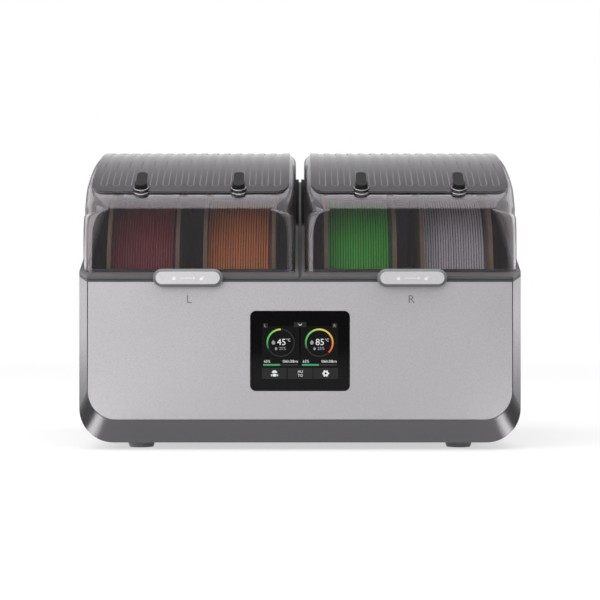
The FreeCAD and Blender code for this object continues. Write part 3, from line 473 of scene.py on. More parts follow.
wears = {
    "gunmetal": ["outer_shell", "rear_cover"],
    "silverFace": ["front_panel"],
    "latchSilver": ["left_latch", "right_latch"],
    "rimDark": ["top_frame", "left_latch_guide", "right_latch_guide"],
    "linerBlack": ["left_chamber_liner", "right_chamber_liner", "base_cover"],
    "partBlack": [
        "display_module", "power_inlet", "power_rocker", "fan_frames", "left_fan_rotor", "right_fan_rotor",
    ],
    "sensorGrey": ["humidity_sensors"],
    "footRubber": ["rubber_feet"],
    "sealRubber": ["lid_seals"],
    "bushBlack": ["left_outlet_bushes", "right_outlet_bushes"],
    "screenGlass": ["display_glass"],
    "boardGreen": ["control_board"],
    "steel": ["case_screws", "hinge_pins", "roller_axles", "roller_bearings"],
    "finMetal": ["power_supply", "heaters"],
    "rollerGrey": [f"roller_{n}_{end}" for n in range(1, 5) for end in ("front", "rear")],
    "plugRubber": [f"outlet_plug_{n}" for n in range(1, 5)],
    "kraft": [f"spool_{n}" for n in range(1, 5)],
}
for number, colour in enumerate(filaments, 1):
    wears[colour + "Core"] = [f"filament_{number}_core"]
for finish, names in wears.items():
    for name in names:
        mesh = nodes[name].data
        mesh.materials.clear()
        mesh.materials.append(finishes[finish])
print("dressed:", sum(len(names) for names in wears.values()), "nodes")


# new pieces

def onlyVerts(made):
    return [g for g in made if isinstance(g, bmesh.types.BMVert)]


def onlyEdges(made):
    return [g for g in made if isinstance(g, bmesh.types.BMEdge)]


def recalcNormals(bm):
    bmesh.ops.recalc_face_normals(bm, faces=bm.faces)


def toMesh(name, bm):
    mesh = bpy.data.meshes.new(name)
    bm.to_mesh(mesh)
    bm.free()
    return mesh


def addObject(name, data):
    made = bpy.data.objects.new(name, data)
    scene.collection.objects.link(made)
    return made


def makePiece(name, bm, body, finish, replaces=(), smooth=30.0):
    mesh = toMesh(name, bm)
    mesh.materials.append(finish)
    if smooth:
        mesh.shade_smooth()
        mesh.set_sharp_from_angle(angle=math.radians(smooth))
    piece = addObject(name, mesh)
    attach(piece, body)
    if replaces:
        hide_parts(*replaces)
    return piece


winding = {
    "turns": 24, "steps": 72, "sides": 10, "radius": 0.875 * mm, "startGap": 0.1 * mm, "endGap": 0.2 * mm,
    "bend": 1.9 * mm, "dive": 2.4 * mm, "bendSteps": 6, "merge": 0.01 * mm, "smooth": 60.0,
    "wander": 0.16 * mm, "wanderPitch": 300, "wanderRound": 0.8, "wanderSpool": 7,
}


def rimEdges(bm, beyond):
    # open edges at the low or the high end of the tube
    return [e for e in bm.edges if e.is_boundary and beyond((e.verts[0].co.x + e.verts[1].co.x) / 2)]


def spinRim(bm, edges, **how):
    geom = list({v for e in edges for v in e.verts}) + edges
    made = bmesh.ops.spin(bm, geom=geom, use_merge=False, use_normal_flip=False, use_duplicate=False, **how)
    return onlyEdges(made["geom_last"])


def windFilament(number, colour):
    coreLow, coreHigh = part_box(f"filament_{number}_core")
    turnsLow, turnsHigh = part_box(f"filament_{number}_turns")
    axis = (coreLow + coreHigh) / 2
    thick = winding["radius"]
    bend = winding["bend"]
    reach = (turnsHigh.z - turnsLow.z) / 2 - thick
    firstX = coreLow.x + thick + winding["startGap"]
    lastX = coreHigh.x - bend - winding["endGap"]
    pitch = (lastX - firstX) / winding["turns"]
    start = Vector((firstX, axis.y - reach, axis.z))
    loop = bmesh.new()
    ring = bmesh.ops.create_circle(loop, segments=winding["sides"], radius=thick)["verts"]
    bmesh.ops.translate(loop, verts=ring, vec=start)
    spinRim(
        loop, loop.edges[:], cent=axis, axis=(-1, 0, 0), angle=2 * math.pi, steps=winding["steps"],
        dvec=(pitch / winding["steps"], 0, 0),
    )
    oneTurn = toMesh("oneTurn", loop)
    bm = bmesh.new()
    for turn in range(winding["turns"]):
        bm.from_mesh(oneTurn)
        oneTurn.transform(Matrix.Translation((pitch, 0, 0)))
    bmesh.ops.remove_doubles(bm, verts=bm.verts, dist=winding["merge"])
    # each turn wanders a little sideways
    along, around = winding["wanderPitch"], winding["wanderRound"]
    for v in bm.verts:
        angle = math.atan2(v.co.z - axis.z, axis.y - v.co.y)
        seed = v.co.x * along + number * winding["wanderSpool"]
        drift = noise.noise(Vector((seed, math.cos(angle) * around, math.sin(angle) * around)))
        v.co.x += drift * winding["wander"]
    # the last turn bends into the flange, and the first one rises out of the layer below
    last = rimEdges(bm, lambda x: x > axis.x)
    first = rimEdges(bm, lambda x: x < axis.x)
    lastMid = sum((v.co for e in last for v in e.verts), Vector()) / (2 * len(last))
    quarter = {"angle": math.pi / 2, "steps": winding["bendSteps"]}
    bent = spinRim(bm, last, cent=lastMid + Vector((bend, 0, 0)), axis=(0, 1, 0), **quarter)
    pushed = onlyVerts(bmesh.ops.extrude_edge_only(bm, edges=bent)["geom"])
    bmesh.ops.translate(bm, verts=pushed, vec=(coreHigh.x - lastMid.x - bend, 0, 0))
    bmesh.ops.holes_fill(bm, edges=list({e for v in pushed for e in v.link_edges if e.is_boundary}))
    dived = spinRim(bm, first, cent=start + Vector((0, winding["dive"], 0)), axis=(1, 0, 0), **quarter)
    bmesh.ops.holes_fill(bm, edges=dived)
    recalcNormals(bm)
    makePiece(
        f"filamentWinding{number}", bm, f"spool_{number}", finishes[colour],
        [f"filament_{number}_turns"], winding["smooth"],
    )


for number, colour in enumerate(filaments, 1):
    windFilament(number, colour)
print("windings:", len(filaments), "of", winding["turns"], "turns")


# lids: the shoulders swell from the foot to the knee, and the crown stays crisp

lidLook = {
    "half": 96.4, "front": 9.0, "rear": 258.0, "wall": 2.4, "kneeHeight": 210.0, "kneeRadius": 26.0,
    "kneeTurn": 57.0, "crownRadius": 300.0, "rearRadius": 7.0, "foot": 140.0, "rearFoot": 250.0,
    "shoulder": {"foot": 10.0, "knee": 24.0, "crown": 8.0, "low": 192.0, "peak": 217.0, "high": 262.0},
    "steps": 14, "rows": {"front": 24, "knee": 18, "crown": 48, "rear": 8}, "near": 0.001, "margin": 0.1,
    "rim": {"start": 151.6, "slope": 0.4141, "rest": 2.6, "flange": 2.6},
    "flange": {
        "inner": 1.2, "nose": 191.8, "outer": 200.0, "front": 0.5, "cheek": 12.0, "rear": 255.0, "soft": 0.5,
    },
    "knuckle": {
        "half": 13.0, "offset": 58.0, "setback": 266.0, "height": 264.6, "radius": 4.6, "sides": 32,
        "web": 1.5, "webLift": 0.25,
    },
    "boss": {
        "setback": 26.0, "offset": 44.5, "radius": 7.2, "bore": 5.5, "root": 5.0, "rise": 4.0, "sides": 48,
        "bead": 0.35, "beadSides": 8, "beadSteps": 40, "beads": [(7.0, 0.4), (6.4, 4.0)],
    },
}


def clamp(t):
    return min(max(t, 0.0), 1.0)


def ease(t):
    t = clamp(t)
    return t * t * (3 - 2 * t)


def shoulderAt(along):
    # radius of the shoulder, by the length up the front, round the knee and over the crown
    swell = lidLook["shoulder"]
    part = clamp((along - swell["low"]) / (swell["peak"] - swell["low"]))
    rise = 1 - math.sqrt(1 - part ** 2)
    fall = ease((along - swell["peak"]) / (swell["high"] - swell["peak"]))
    return swell["foot"] + (swell["knee"] - swell["foot"]) * rise - (swell["knee"] - swell["crown"]) * fall


def crownCentre():
    look = lidLook
    reach = look["crownRadius"] - look["kneeRadius"]
    turn = math.radians(look["kneeTurn"])
    kneeY = look["front"] + look["kneeRadius"]
    return kneeY + reach * math.cos(turn), look["kneeHeight"] - reach * math.sin(turn)


def arcRows(centre, radius, first, last, count, shoulder):
    rows = []
    for step in range(1, count + 1):
        angle = first + (last - first) * step / count
        inward = (math.cos(angle), -math.sin(angle))
        place = [middle - radius * part for middle, part in zip(centre, inward)]
        rows.append((*place, inward, shoulder(angle)))
    return rows


def lidRows():
    # side profile as setback, height, inward normal and shoulder radius, from the front foot to the rear
    look = lidLook
    count = look["rows"]
    knee = look["kneeRadius"]
    turn = math.radians(look["kneeTurn"])
    kneeZ = look["kneeHeight"]
    kneeEnd = kneeZ + knee * turn
    crown = look["crownRadius"]
    crownMid = crownCentre()
    rows = []
    for step in range(count["front"] + 1):
        z = look["foot"] + (kneeZ - look["foot"]) * step / count["front"]
        rows.append((look["front"], z, (1, 0), shoulderAt(z)))
    kneeMid = (look["front"] + knee, kneeZ)
    rows += arcRows(kneeMid, knee, 0.0, turn, count["knee"], lambda a: shoulderAt(kneeZ + knee * a))
    # the crown runs into a small round above the rear wall
    tail = look["rearRadius"]
    tailMid = look["rear"] - tail
    tailZ = crownMid[1] + math.sqrt((crown - tail) ** 2 - (tailMid - crownMid[0]) ** 2)
    last = math.pi - math.atan2(tailZ - crownMid[1], tailMid - crownMid[0])
    rows += arcRows(
        crownMid, crown, turn, last, count["crown"], lambda a: shoulderAt(kneeEnd + crown * (a - turn)),
    )
    flat = look["shoulder"]["crown"]
    rows += arcRows((tailMid, tailZ), tail, last, math.pi, count["rear"], lambda a: flat)
    rows.append((look["rear"], look["rearFoot"], (-1, 0), flat))
    return rows


def layGrid(bm, columns, rows):
    # flat grid, with the column and the row of each point
    wide = len(columns) - 1
    tall = len(rows) - 1
    bmesh.ops.create_grid(bm, x_segments=wide, y_segments=tall, size=0.5)
    return [(v, round((v.co.x + 0.5) * wide), round((v.co.y + 0.5) * tall)) for v in bm.verts]


def lidBlock(middle, inset):
    # a grid laid over the profile, with its sides rolled down the shoulders
    look = lidLook
    rows = lidRows()
    turns = [math.pi / 2 * step / look["steps"] for step in range(look["steps"] + 1)]
    columns = [(-1, turn) for turn in reversed(turns)] + [(1, turn) for turn in turns]
    bm = bmesh.new()
    edge = {0: {}, len(columns) - 1: {}}
    for v, column, row in layGrid(bm, columns, rows):
        side, turn = columns[column]
        setback, z, inward, radius = rows[row]
        radius -= inset
        drop = inset + radius * (1 - math.cos(turn))
        reach = look["half"] - inset - radius * (1 - math.sin(turn))
        v.co = Vector((middle + side * reach, setback + inward[0] * drop, z + inward[1] * drop))
        if column in edge:
            edge[column][row] = v
    across = [e for e in bm.edges if abs(e.verts[0].co.x - e.verts[1].co.x) > look["near"]]
    ends = [e for e in across if e.is_boundary]
    for chain in edge.values():
        bm.faces.new([chain[row] for row in range(len(rows))])
    bmesh.ops.bridge_loops(bm, edges=ends)
    recalcNormals(bm)
    return bm


def cutAtRim(bm):
    # takes off what is under the sloped rim, and closes the cut
    rim = lidLook["rim"]
    made = bmesh.ops.bisect_plane(
        bm, geom=bm.verts[:] + bm.edges[:] + bm.faces[:], dist=lidLook["near"],
        plane_co=(0, 0, rim["start"] + rim["rest"]), plane_no=(0, -rim["slope"], 1), clear_inner=True,
    )["geom_cut"]
    bmesh.ops.holes_fill(bm, edges=onlyEdges(made))
    recalcNormals(bm)
    return bm


def lidFlange(side):
    look = lidLook["flange"]
    rim = lidLook["rim"]
    plan = [
        (look["inner"], look["front"]), (look["nose"], look["front"]), (look["outer"], look["cheek"]),
        (look["outer"], look["rear"]), (look["inner"], look["rear"]),
    ]
    bm = bmesh.new()
    corners = [bm.verts.new((side * x, setback, 0)) for x, setback in plan]
    foot = bm.faces.new(corners)
    grown = bmesh.ops.extrude_face_region(bm, geom=[foot])["geom"]
    bmesh.ops.translate(bm, vec=(0, 0, rim["flange"]), verts=onlyVerts(grown))
    top = [e for e in bm.edges if min(v.co.z for v in e.verts) > lidLook["near"]]
    bmesh.ops.bevel(
        bm, geom=top, offset=look["soft"], offset_type="OFFSET", affect="EDGES", segments=2, profile=0.5,
        material=-1,
    )
    for v in bm.verts:
        v.co.z += rim["start"] + rim["slope"] * v.co.y + rim["rest"]
    recalcNormals(bm)
    return bm


def standOn(bm, place, axis):
    turn = Vector((0, 0, 1)).rotation_difference(Vector(axis)).to_matrix().to_4x4()
    bmesh.ops.transform(bm, matrix=Matrix.Translation(place) @ turn, verts=bm.verts)
    return bm


def rod(radius, low, high, place, axis, segments=lidLook["boss"]["sides"]):
    bm = bmesh.new()
    bmesh.ops.create_cone(
        bm, cap_ends=True, segments=segments, radius1=radius, radius2=radius, depth=high - low,
        matrix=Matrix.Translation((0, 0, (low + high) / 2)),
    )
    return standOn(bm, place, axis)


def bead(radius, rise, place, axis):
    # a round bead that rings a boss
    look = lidLook["boss"]
    bm = bmesh.new()
    stand = Matrix.Translation((radius, 0, rise)) @ Matrix.Rotation(math.pi / 2, 4, "X")
    bmesh.ops.create_circle(bm, segments=look["beadSides"], radius=look["bead"], matrix=stand)
    bmesh.ops.spin(
        bm, geom=bm.verts[:] + bm.edges[:], cent=(0, 0, 0), axis=(0, 0, 1), angle=2 * math.pi,
        steps=look["beadSteps"], use_merge=True,
    )
    recalcNormals(bm)
    return standOn(bm, place, axis)


def knuckle(x):
    look = lidLook["knuckle"]
    half, radius, setback = look["half"], look["radius"], look["setback"]
    barrel = rod(radius, -half, half, (x, setback, look["height"]), (1, 0, 0), look["sides"])
    web = bmesh.new()
    bmesh.ops.create_cube(web, size=1)
    start = lidLook["rear"] - lidLook["wall"] / 2
    bmesh.ops.scale(web, vec=(2 * half, setback - start, radius * look["web"]), verts=web.verts)
    middle = (x, (setback + start) / 2, look["height"] + radius * look["webLift"])
    bmesh.ops.translate(web, vec=middle, verts=web.verts)
    return [barrel, web]


def combine(body, tools, operation):
    # joins or cuts closed solids and hands back the result
    holders = [addObject("solid", toMesh("solid", bm)) for bm in [body] + tools]
    for tool in holders[1:]:
        step = holders[0].modifiers.new("solid", "BOOLEAN")
        step.operation = operation
        step.solver = "EXACT"
        step.object = tool
    graph = bpy.context.evaluated_depsgraph_get()
    result = bmesh.new()
    result.from_mesh(holders[0].evaluated_get(graph).to_mesh())
    for holder in holders:
        bpy.data.meshes.remove(holder.data)
    return result


def lidMiddle(side):
    return side * (lidLook["flange"]["inner"] + lidLook["flange"]["outer"]) / 2


def outletFrames(middle):
    # foot of each outlet on the crown, and the direction out of it
    look = lidLook["boss"]
    crownY, crownZ = crownCentre()
    crown = lidLook["crownRadius"]
    run = look["setback"] - crownY
    rise = math.sqrt(crown ** 2 - run ** 2)
    feet = [(middle + step, look["setback"], crownZ + rise) for step in (-look["offset"], look["offset"])]
    return feet, (0, run / crown, rise / crown)


def toMetres(bm):
    scale = Matrix.Translation((0, frontY, 0)) @ Matrix.Scale(mm, 4)
    bmesh.ops.transform(bm, matrix=scale, verts=bm.verts)


def mouldLid(name, side):
    middle = lidMiddle(side)
    look = lidLook["boss"]
    rim = lidLook["rim"]
    margin = lidLook["margin"]
    hinge = lidLook["knuckle"]["offset"]
    body = cutAtRim(lidBlock(middle, 0))
    hinges = [bm for step in (-hinge, hinge) for bm in knuckle(middle + step)]
    body = combine(body, [lidFlange(side)] + hinges, "UNION")
    body = combine(body, [lidBlock(middle, lidLook["wall"])], "DIFFERENCE")
    feet, out = outletFrames(middle)
    bosses = [rod(look["radius"], -look["root"], look["rise"], foot, out) for foot in feet]
    bores = [rod(look["bore"], -2 * look["root"], 2 * look["rise"], foot, out) for foot in feet]
    body = combine(combine(body, bosses, "UNION"), bores, "DIFFERENCE")
    bmesh.ops.triangulate(body, faces=[f for f in body.faces if len(f.verts) > 4])
    # the flange outside the walls is frosted
    for f in body.faces:
        spot = f.calc_center_median()
        over = spot.z - rim["start"] - rim["slope"] * spot.y
        beside = abs(spot.x - middle) > lidLook["half"] + margin
        outside = spot.y < lidLook["front"] - margin or beside
        f.material_index = 1 if over < rim["rest"] + rim["flange"] + margin and outside else 0
    # pale beads ring each boss and paint the highlight along its edges
    for foot in feet:
        for radius, rise in look["beads"]:
            ring = bead(radius, rise, foot, out)
            for f in ring.faces:
                f.material_index = 2
            mesh = toMesh("bead", ring)
            body.from_mesh(mesh)
            bpy.data.meshes.remove(mesh)
    toMetres(body)
    piece = makePiece(
        f"{name}SmokedLid", body, f"{name}_lid", finishes["smokedLid"], [f"{name}_lid_shell"],
    )
    piece.data.materials.append(finishes["frosted"])
    piece.data.materials.append(finishes["bossHighlight"])
    soft = piece.modifiers.new("soft", "WEIGHTED_NORMAL")
    soft.keep_sharp = True


mouldLid("left", -1)
mouldLid("right", 1)
print("lids moulded")


# ribbed panels on the crowns

ribLook = {
    "half": 90.6, "front": 21.5, "rear": 250.0, "corner": 14.0, "lift": 0.05, "thick": 1.8, "soft": 0.45,
    "skirt": 0.6, "border": 2.5, "bossGap": 0.3, "bossReach": 20.0, "smooth": 50.0,
    "flute": {
        "pitch": 11.4, "half": 2.8, "depth": 0.7, "count": 15, "front": 31.0, "rear": 240.0, "line": 0.7,
        "fade": 60.0, "before": 1.0, "end": 4.0,
    },
    # cross lines in each stretch of the panel, and places across half a flute
    "rows": (12, 14, 44, 14, 8),
    "across": (1.2, 2.1, 2.4, 2.6, 2.8, 3.0, 3.2, 3.5),
}


def ribStations():
    # setbacks of the cross lines, close together at the ends of the flutes
    flute = ribLook["flute"]
    front, rear, before, end = (flute[key] for key in ("front", "rear", "before", "end"))
    stops = [ribLook["front"], front - before, front + end, rear - end, rear + before, ribLook["rear"]]
    rows = stops[:1]
    for start, stop, count in zip(stops, stops[1:], ribLook["rows"]):
        rows += [start + (stop - start) * (step + 1) / count for step in range(count)]
    return rows


def fluteShape(x, setback):
    # depth of the flute, and strength of the painted highlight, a pale line along its edge
    flute = ribLook["flute"]
    lane = round(x / flute["pitch"])
    if abs(lane) > (flute["count"] - 1) / 2:
        return 0.0, 0.0
    low = flute["front"] + flute["half"]
    high = flute["rear"] - flute["half"]
    past = max(low - setback, setback - high, 0.0)
    away = math.hypot(x - lane * flute["pitch"], past)
    depth = flute["depth"] * ease((flute["half"] + ribLook["soft"] / 2 - away) / ribLook["soft"])
    line = max(1 - abs(away - flute["half"]) / flute["line"], 0.0)
    return depth, line * (1 - ease((setback - flute["front"]) / flute["fade"]))


def ribPanel(name, side):
    look = ribLook
    flute = look["flute"]
    middle = lidMiddle(side)
    lanes = range(-(flute["count"] // 2), flute["count"] // 2 + 1)
    half = look["across"]
    across = [-flute["pitch"] / 2, *(-step for step in reversed(half)), 0, *half]
    columns = [lane * flute["pitch"] + step for lane in lanes for step in across]
    columns = [-look["half"]] + columns[1:] + [look["half"] - look["border"], look["half"]]
    rows = ribStations()
    crownY, crownZ = crownCentre()
    corner = look["corner"]
    bm = bmesh.new()
    # this attribute carries the strength of the painted highlight on the flute edges
    edge = bm.verts.layers.float.new("fluteHighlight")
    for v, column, row in layGrid(bm, columns, rows):
        x = columns[column]
        setback = rows[row]
        inside = min(setback - look["front"], look["rear"] - setback, corner)
        rounded = corner - math.sqrt(corner ** 2 - (corner - inside) ** 2)
        depth, v[edge] = fluteShape(x, setback)
        radius = lidLook["crownRadius"] + look["lift"] + look["thick"] - depth
        x *= 1 - rounded / look["half"]
        v.co = Vector((middle + x, setback, crownZ + math.sqrt(radius ** 2 - (setback - crownY) ** 2)))
    recalcNormals(bm)
    skirt = bmesh.ops.extrude_edge_only(bm, edges=[e for e in bm.edges if e.is_boundary])["geom"]
    for v in onlyVerts(skirt):
        v.co -= Vector((0, v.co.y - crownY, v.co.z - crownZ)).normalized() * look["thick"]
        # painted light: the skirt takes a share of the pale line colour, which lightens its shaded face
        v[edge] = look["skirt"]
    bmesh.ops.holes_fill(bm, edges=[e for e in bm.edges if e.is_boundary])
    recalcNormals(bm)
    feet, out = outletFrames(middle)
    room = lidLook["boss"]["radius"] + look["bossGap"]
    reach = look["bossReach"]
    bm = combine(bm, [rod(room, -reach, reach, foot, out) for foot in feet], "DIFFERENCE")
    toMetres(bm)
    makePiece(
        f"{name}RibPanel", bm, f"{name}_lid", finishes["ribSmoke"], [f"{name}_lid_ribs"],
        look["smooth"],
    )


ribPanel("left", -1)
ribPanel("right", 1)
print("ribbed panels done")


# marks on the screen, the latches and the front

glowLook = {"rows": 900.0, "tone": (0.9, 1.06), "base": grey(0.003), "specular": 0.12, "rough": 0.2}


def lit(name):
    material, tree, surface = startMaterial(name)
    feed(
        tree, surface, Emission_Strength=1.0, Base_Color=glowLook["base"],
        Specular_IOR_Level=glowLook["specular"],
    )
    return material, tree, surface


def glow(name, colour):
    material, tree, surface = lit(name)
    bands = put(tree, "TexWave", {"bands_direction": "Z"}, Vector=objectPlace(tree), Scale=glowLook["rows"])
    tone = shade(tree, colour, bands.outputs[1], *glowLook["tone"])
    feed(tree, surface, Emission_Color=tone, Roughness=glowLook["rough"])
    return material


def dialGlow(name, x, z):
    # lit arc that runs from green over yellow to red, by its angle round the dial
    material, tree, surface = lit(name)
    axes = put(tree, "SeparateXYZ", Vector=put(tree, "TexCoord").outputs["Object"]).outputs
    flat = put(tree, "CombineXYZ", X=axes["X"], Y=axes["Z"]).outputs[0]
    turned = put(
        tree, "Mapping", {"vector_type": "TEXTURE"}, Vector=flat, Location=(x, z, 0),
        Rotation=(0, 0, math.radians(90)),
    ).outputs[0]
    angle = put(tree, "TexGradient", {"gradient_type": "RADIAL"}, Vector=turned).outputs[1]
    feed(tree, surface, Emission_Color=ramp(tree, angle, screenLook["dialStops"]))
    return material


def tile(bm, u, v, width, height, corner=0.0, turn=0.0):
    # flat tile in the XZ plane, facing the front
    made = bmesh.ops.create_grid(bm, x_segments=1, y_segments=1, size=0.5)["verts"]
    bmesh.ops.scale(bm, vec=(width, height, 1), verts=made)
    if corner:
        made = bmesh.ops.bevel(
            bm, geom=made, offset=corner, offset_type="OFFSET", affect="VERTICES", segments=5, profile=0.5,
            material=-1,
        )["verts"]
    spin = Matrix.Rotation(turn, 4, "Z")
    bmesh.ops.transform(bm, matrix=Matrix.Translation((u, v, 0)) @ spin, verts=made)


def arcBand(bm, u, v, radius, width, start, sweep, steps):
    # a band of part of a ring, from one short edge spun round the dial's centre
    first = Vector((math.cos(start), math.sin(start), 0))
    middle = Vector((u, v, 0))
    ends = [bm.verts.new(middle + first * (radius + step * width / 2)) for step in (-1, 1)]
    edge = bm.edges.new(ends)
    full = math.isclose(abs(sweep), 2 * math.pi)
    bmesh.ops.spin(
        bm, geom=ends + [edge], cent=middle, axis=(0, 0, 1), angle=sweep, steps=steps,
        use_merge=full, use_normal_flip=False, use_duplicate=False,
    )


def words(bm, text, u, v, height, width=None):
    curve = bpy.data.curves.new("words", "FONT")
    curve.body = text
    curve.resolution_u = 3
    holder = addObject("words", curve)
    bpy.context.view_layer.update()
    mesh = bpy.data.meshes.new_from_object(holder)
    bpy.data.objects.remove(holder)
    spans = [[p.co[axis] for p in mesh.vertices] for axis in (0, 1)]
    low = Vector([min(span) for span in spans] + [0])
    high = Vector([max(span) for span in spans] + [0])
    tall = height / (high.y - low.y)
    wide = width / (high.x - low.x) if width else tall
    middle = (low + high) / 2
    size = Matrix.Diagonal((wide, tall, 1, 1))
    mesh.transform(Matrix.Translation((u, v, 0)) @ size @ Matrix.Translation(-middle))
    bm.from_mesh(mesh)
    bpy.data.meshes.remove(mesh)


def stick(name, bm, depth, thick, finish, body="base"):
    # stands flat art, drawn in millimetres, on a front face at the given Y
    recalcNormals(bm)
    up = sum(f.normal.z * f.calc_area() for f in bm.faces)
    if up < 0:
        bmesh.ops.reverse_faces(bm, faces=bm.faces)
    grown = bmesh.ops.extrude_face_region(bm, geom=bm.faces[:])["geom"]
    bmesh.ops.translate(bm, vec=(0, 0, thick), verts=onlyVerts(grown))
    recalcNormals(bm)
    upright = Matrix.Rotation(math.radians(90), 4, "X") @ Matrix.Scale(mm, 4)
    bmesh.ops.transform(bm, matrix=Matrix.Translation((0, depth, 0)) @ upright, verts=bm.verts)
    makePiece(name, bm, body, finish, smooth=0)


glassLow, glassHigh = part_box("display_glass")
screenLook = {
    "middle": (glassLow.z + glassHigh.z) / 2 / mm,
    "lift": 0.05 * mm,
    "thick": 0.06,
    "dial": {
        "u": 17.3, "v": 7.3, "radius": 12.1, "width": 1.5, "trackShare": 0.7, "trackSteps": 72, "end": 204,
        "steps": 60, "lift": 0.12 * mm,
    },
    "dialStops": [
        (0.125, (0.8, 0.06, 0.04)), (0.22, (0.75, 0.22, 0.04)), (0.38, (0.8, 0.5, 0.08)),
        (0.49, (0.72, 0.66, 0.12)), (0.6, (0.22, 0.6, 0.16)), (0.7, (0.08, 0.5, 0.1)),
        (0.82, (0.02, 0.12, 0.04)),
    ],
    # side, dial, letter, temperature and start of the lit arc
    "sides": [(-1, "screenDialLeft", "L", "45", 90), (1, "screenDialRight", "R", "85", -45)],
    # piece, colour and lift off the glass of each layer
    "arts": {
        "card": ("screenCards", (0.002, 0.002, 0.0022, 1.0), 0.0),
        "track": ("screenTracks", (0.028, 0.028, 0.03, 1.0), 0.06),
        "button": ("screenButtons", (0.021, 0.021, 0.022, 1.0), 0.06),
        "bar": ("screenBars", (0.06, 0.36, 0.14, 1.0), 0.14),
        "dim": ("screenDimMarks", (0.32, 0.33, 0.33, 1.0), 0.12),
        "white": ("screenMarks", (0.8, 0.82, 0.82, 1.0), 0.12),
    },
    # where things are placed from on each half: the card's middle, its letter, its button
    "anchors": {"half": 17.4, "letter": 31.2, "button": 23.1}, "lineStart": 15.7,
    # layer, anchor, place, size and corner
    "tiles": [
        ("card", "half", (0, 4.4, 33.2, 36.0, 0.8)), ("track", "line", (15.7, -12.5, 31.4, 1.6, 0.3)),
        ("bar", "line", (7.6, -12.5, 15.2, 1.6, 0.3)), ("button", "letter", (0, 22.8, 4.4, 4.2, 0.6)),
        ("button", "button", (0, -20.2, 22.2, 9.9, 0.5)),
    ],
    # text, layer, anchor, place, height and width, with a drop where there is no text
    "marks": [
        ("{reading}", "white", "dial", (0.5, 0.8, 5.7)), ("°C", "white", "dial", (6.8, 2.6, 2.6)),
        ("", "dim", "dial", (-6.6, 0.6, 3.2)), ("25%", "dim", "dial", (1.6, -5.0, 2.7)),
        ("", "dim", "dial", (-4.2, -5.0, 2.2)), ("65%", "white", "line", (3.6, -9.3, 2.4)),
        ("06h38m", "white", "line", (24.4, -9.3, 2.4, 13.6)), ("{letter}", "dim", "letter", (0, 22.8, 2.6)),
    ],
    "midTiles": [(0.2, -20.2, 22.4, 9.9, 0.5), (0.1, 23.8, 11.2, 4.6, 0.8)],
    "chevron": (0.1, 0.75, 23.6, 2.2, 0.5, 42),
    # hood, word and gear on the three buttons
    "row": -20.2, "hoodU": -22.9, "hoodTop": (0.5, 1.2, 2.4, 20), "hood": (0, -1.5, 3.6, 2.6, 0.7),
    "hoodEar": (2.8, -1.6, 0.8, 1.7, 0.3), "auto": [("AU", 1.7), ("TO", -1.7)], "autoText": (0.2, 2.4, 4.6),
    "gear": {"u": 23.1, "radius": 1.75, "width": 1.5, "steps": 36, "teeth": 6, "reach": 2.6},
    "tooth": (1.0, 1.3, 0.2),
}


def plate(bm, u, v, spot):
    tile(bm, u + spot[0], v + spot[1], *spot[2:])


# shares of the drop's size
dropShape = {"ball": 0.5, "low": 0.2, "tip": 0.12, "edge": 0.66}


def drop(bm, u, v, size):
    # a ball, with the corner of a square for its tip
    shape = {key: size * share for key, share in dropShape.items()}
    made = bmesh.ops.create_circle(bm, cap_ends=True, segments=16, radius=shape["ball"])["verts"]
    bmesh.ops.translate(bm, vec=(u, v - shape["low"], 0), verts=made)
    tile(bm, u, v + shape["tip"], shape["edge"], shape["edge"], turn=math.radians(45))


def drawScreen():
    look = screenLook
    mid = look["middle"]
    dial = look["dial"]
    depth = glassLow.y - look["lift"]
    art = {layer: bmesh.new() for layer in look["arts"]}
    white = art["white"]
    for side, name, letter, reading, start in look["sides"]:
        u = side * dial["u"]
        v = mid + dial["v"]
        ringWidth = dial["width"] * dial["trackShare"]
        arcBand(art["track"], u, v, dial["radius"], ringWidth, 0, 2 * math.pi, dial["trackSteps"])
        arc = bmesh.new()
        sweep = math.radians(dial["end"] - start)
        arcBand(arc, u, v, dial["radius"], dial["width"], math.radians(start), sweep, dial["steps"])
        stick(name, arc, depth - dial["lift"], look["thick"], dialGlow(name, u * mm, v * mm))
        anchors = {key: (side * out, mid) for key, out in look["anchors"].items()}
        anchors["dial"] = (u, v)
        anchors["line"] = (anchors["half"][0] - look["lineStart"], mid)
        for layer, anchor, spot in look["tiles"]:
            plate(art[layer], *anchors[anchor], spot)
        for text, layer, anchor, (right, up, *size) in look["marks"]:
            spot = (anchors[anchor][0] + right, anchors[anchor][1] + up, *size)
            if text:
                words(art[layer], text.format(reading=reading, letter=letter), *spot)
            else:
                drop(art[layer], *spot)
    for spot in look["midTiles"]:
        plate(art["button"], 0, mid, spot)
    u, out, v, width, height, turn = look["chevron"]
    for side in (-1, 1):
        tile(white, u + side * out, mid + v, width, height, 0.0, side * math.radians(turn))
    row = mid + look["row"]
    u = look["hoodU"]
    rise, radius, width, steps = look["hoodTop"]
    arcBand(white, u, row + rise, radius, width, 0, math.pi, steps)
    plate(white, u, row, look["hood"])
    out, *ear = look["hoodEar"]
    for side in (-1, 1):
        plate(white, u, row, (side * out, *ear))
    u, height, width = look["autoText"]
    for text, rise in look["auto"]:
        words(white, text, u, row + rise, height, width)
    gear = look["gear"]
    arcBand(white, gear["u"], row, gear["radius"], gear["width"], 0, 2 * math.pi, gear["steps"])
    for tooth in range(gear["teeth"]):
        angle = math.radians(360 / gear["teeth"] * tooth)
        spot = (math.cos(angle) * gear["reach"], math.sin(angle) * gear["reach"], *look["tooth"], angle)
        plate(white, gear["u"], row, spot)
    for layer, (name, colour, lift) in look["arts"].items():
        stick(name, art[layer], depth - lift * mm, look["thick"], glow(name, colour))


drawScreen()

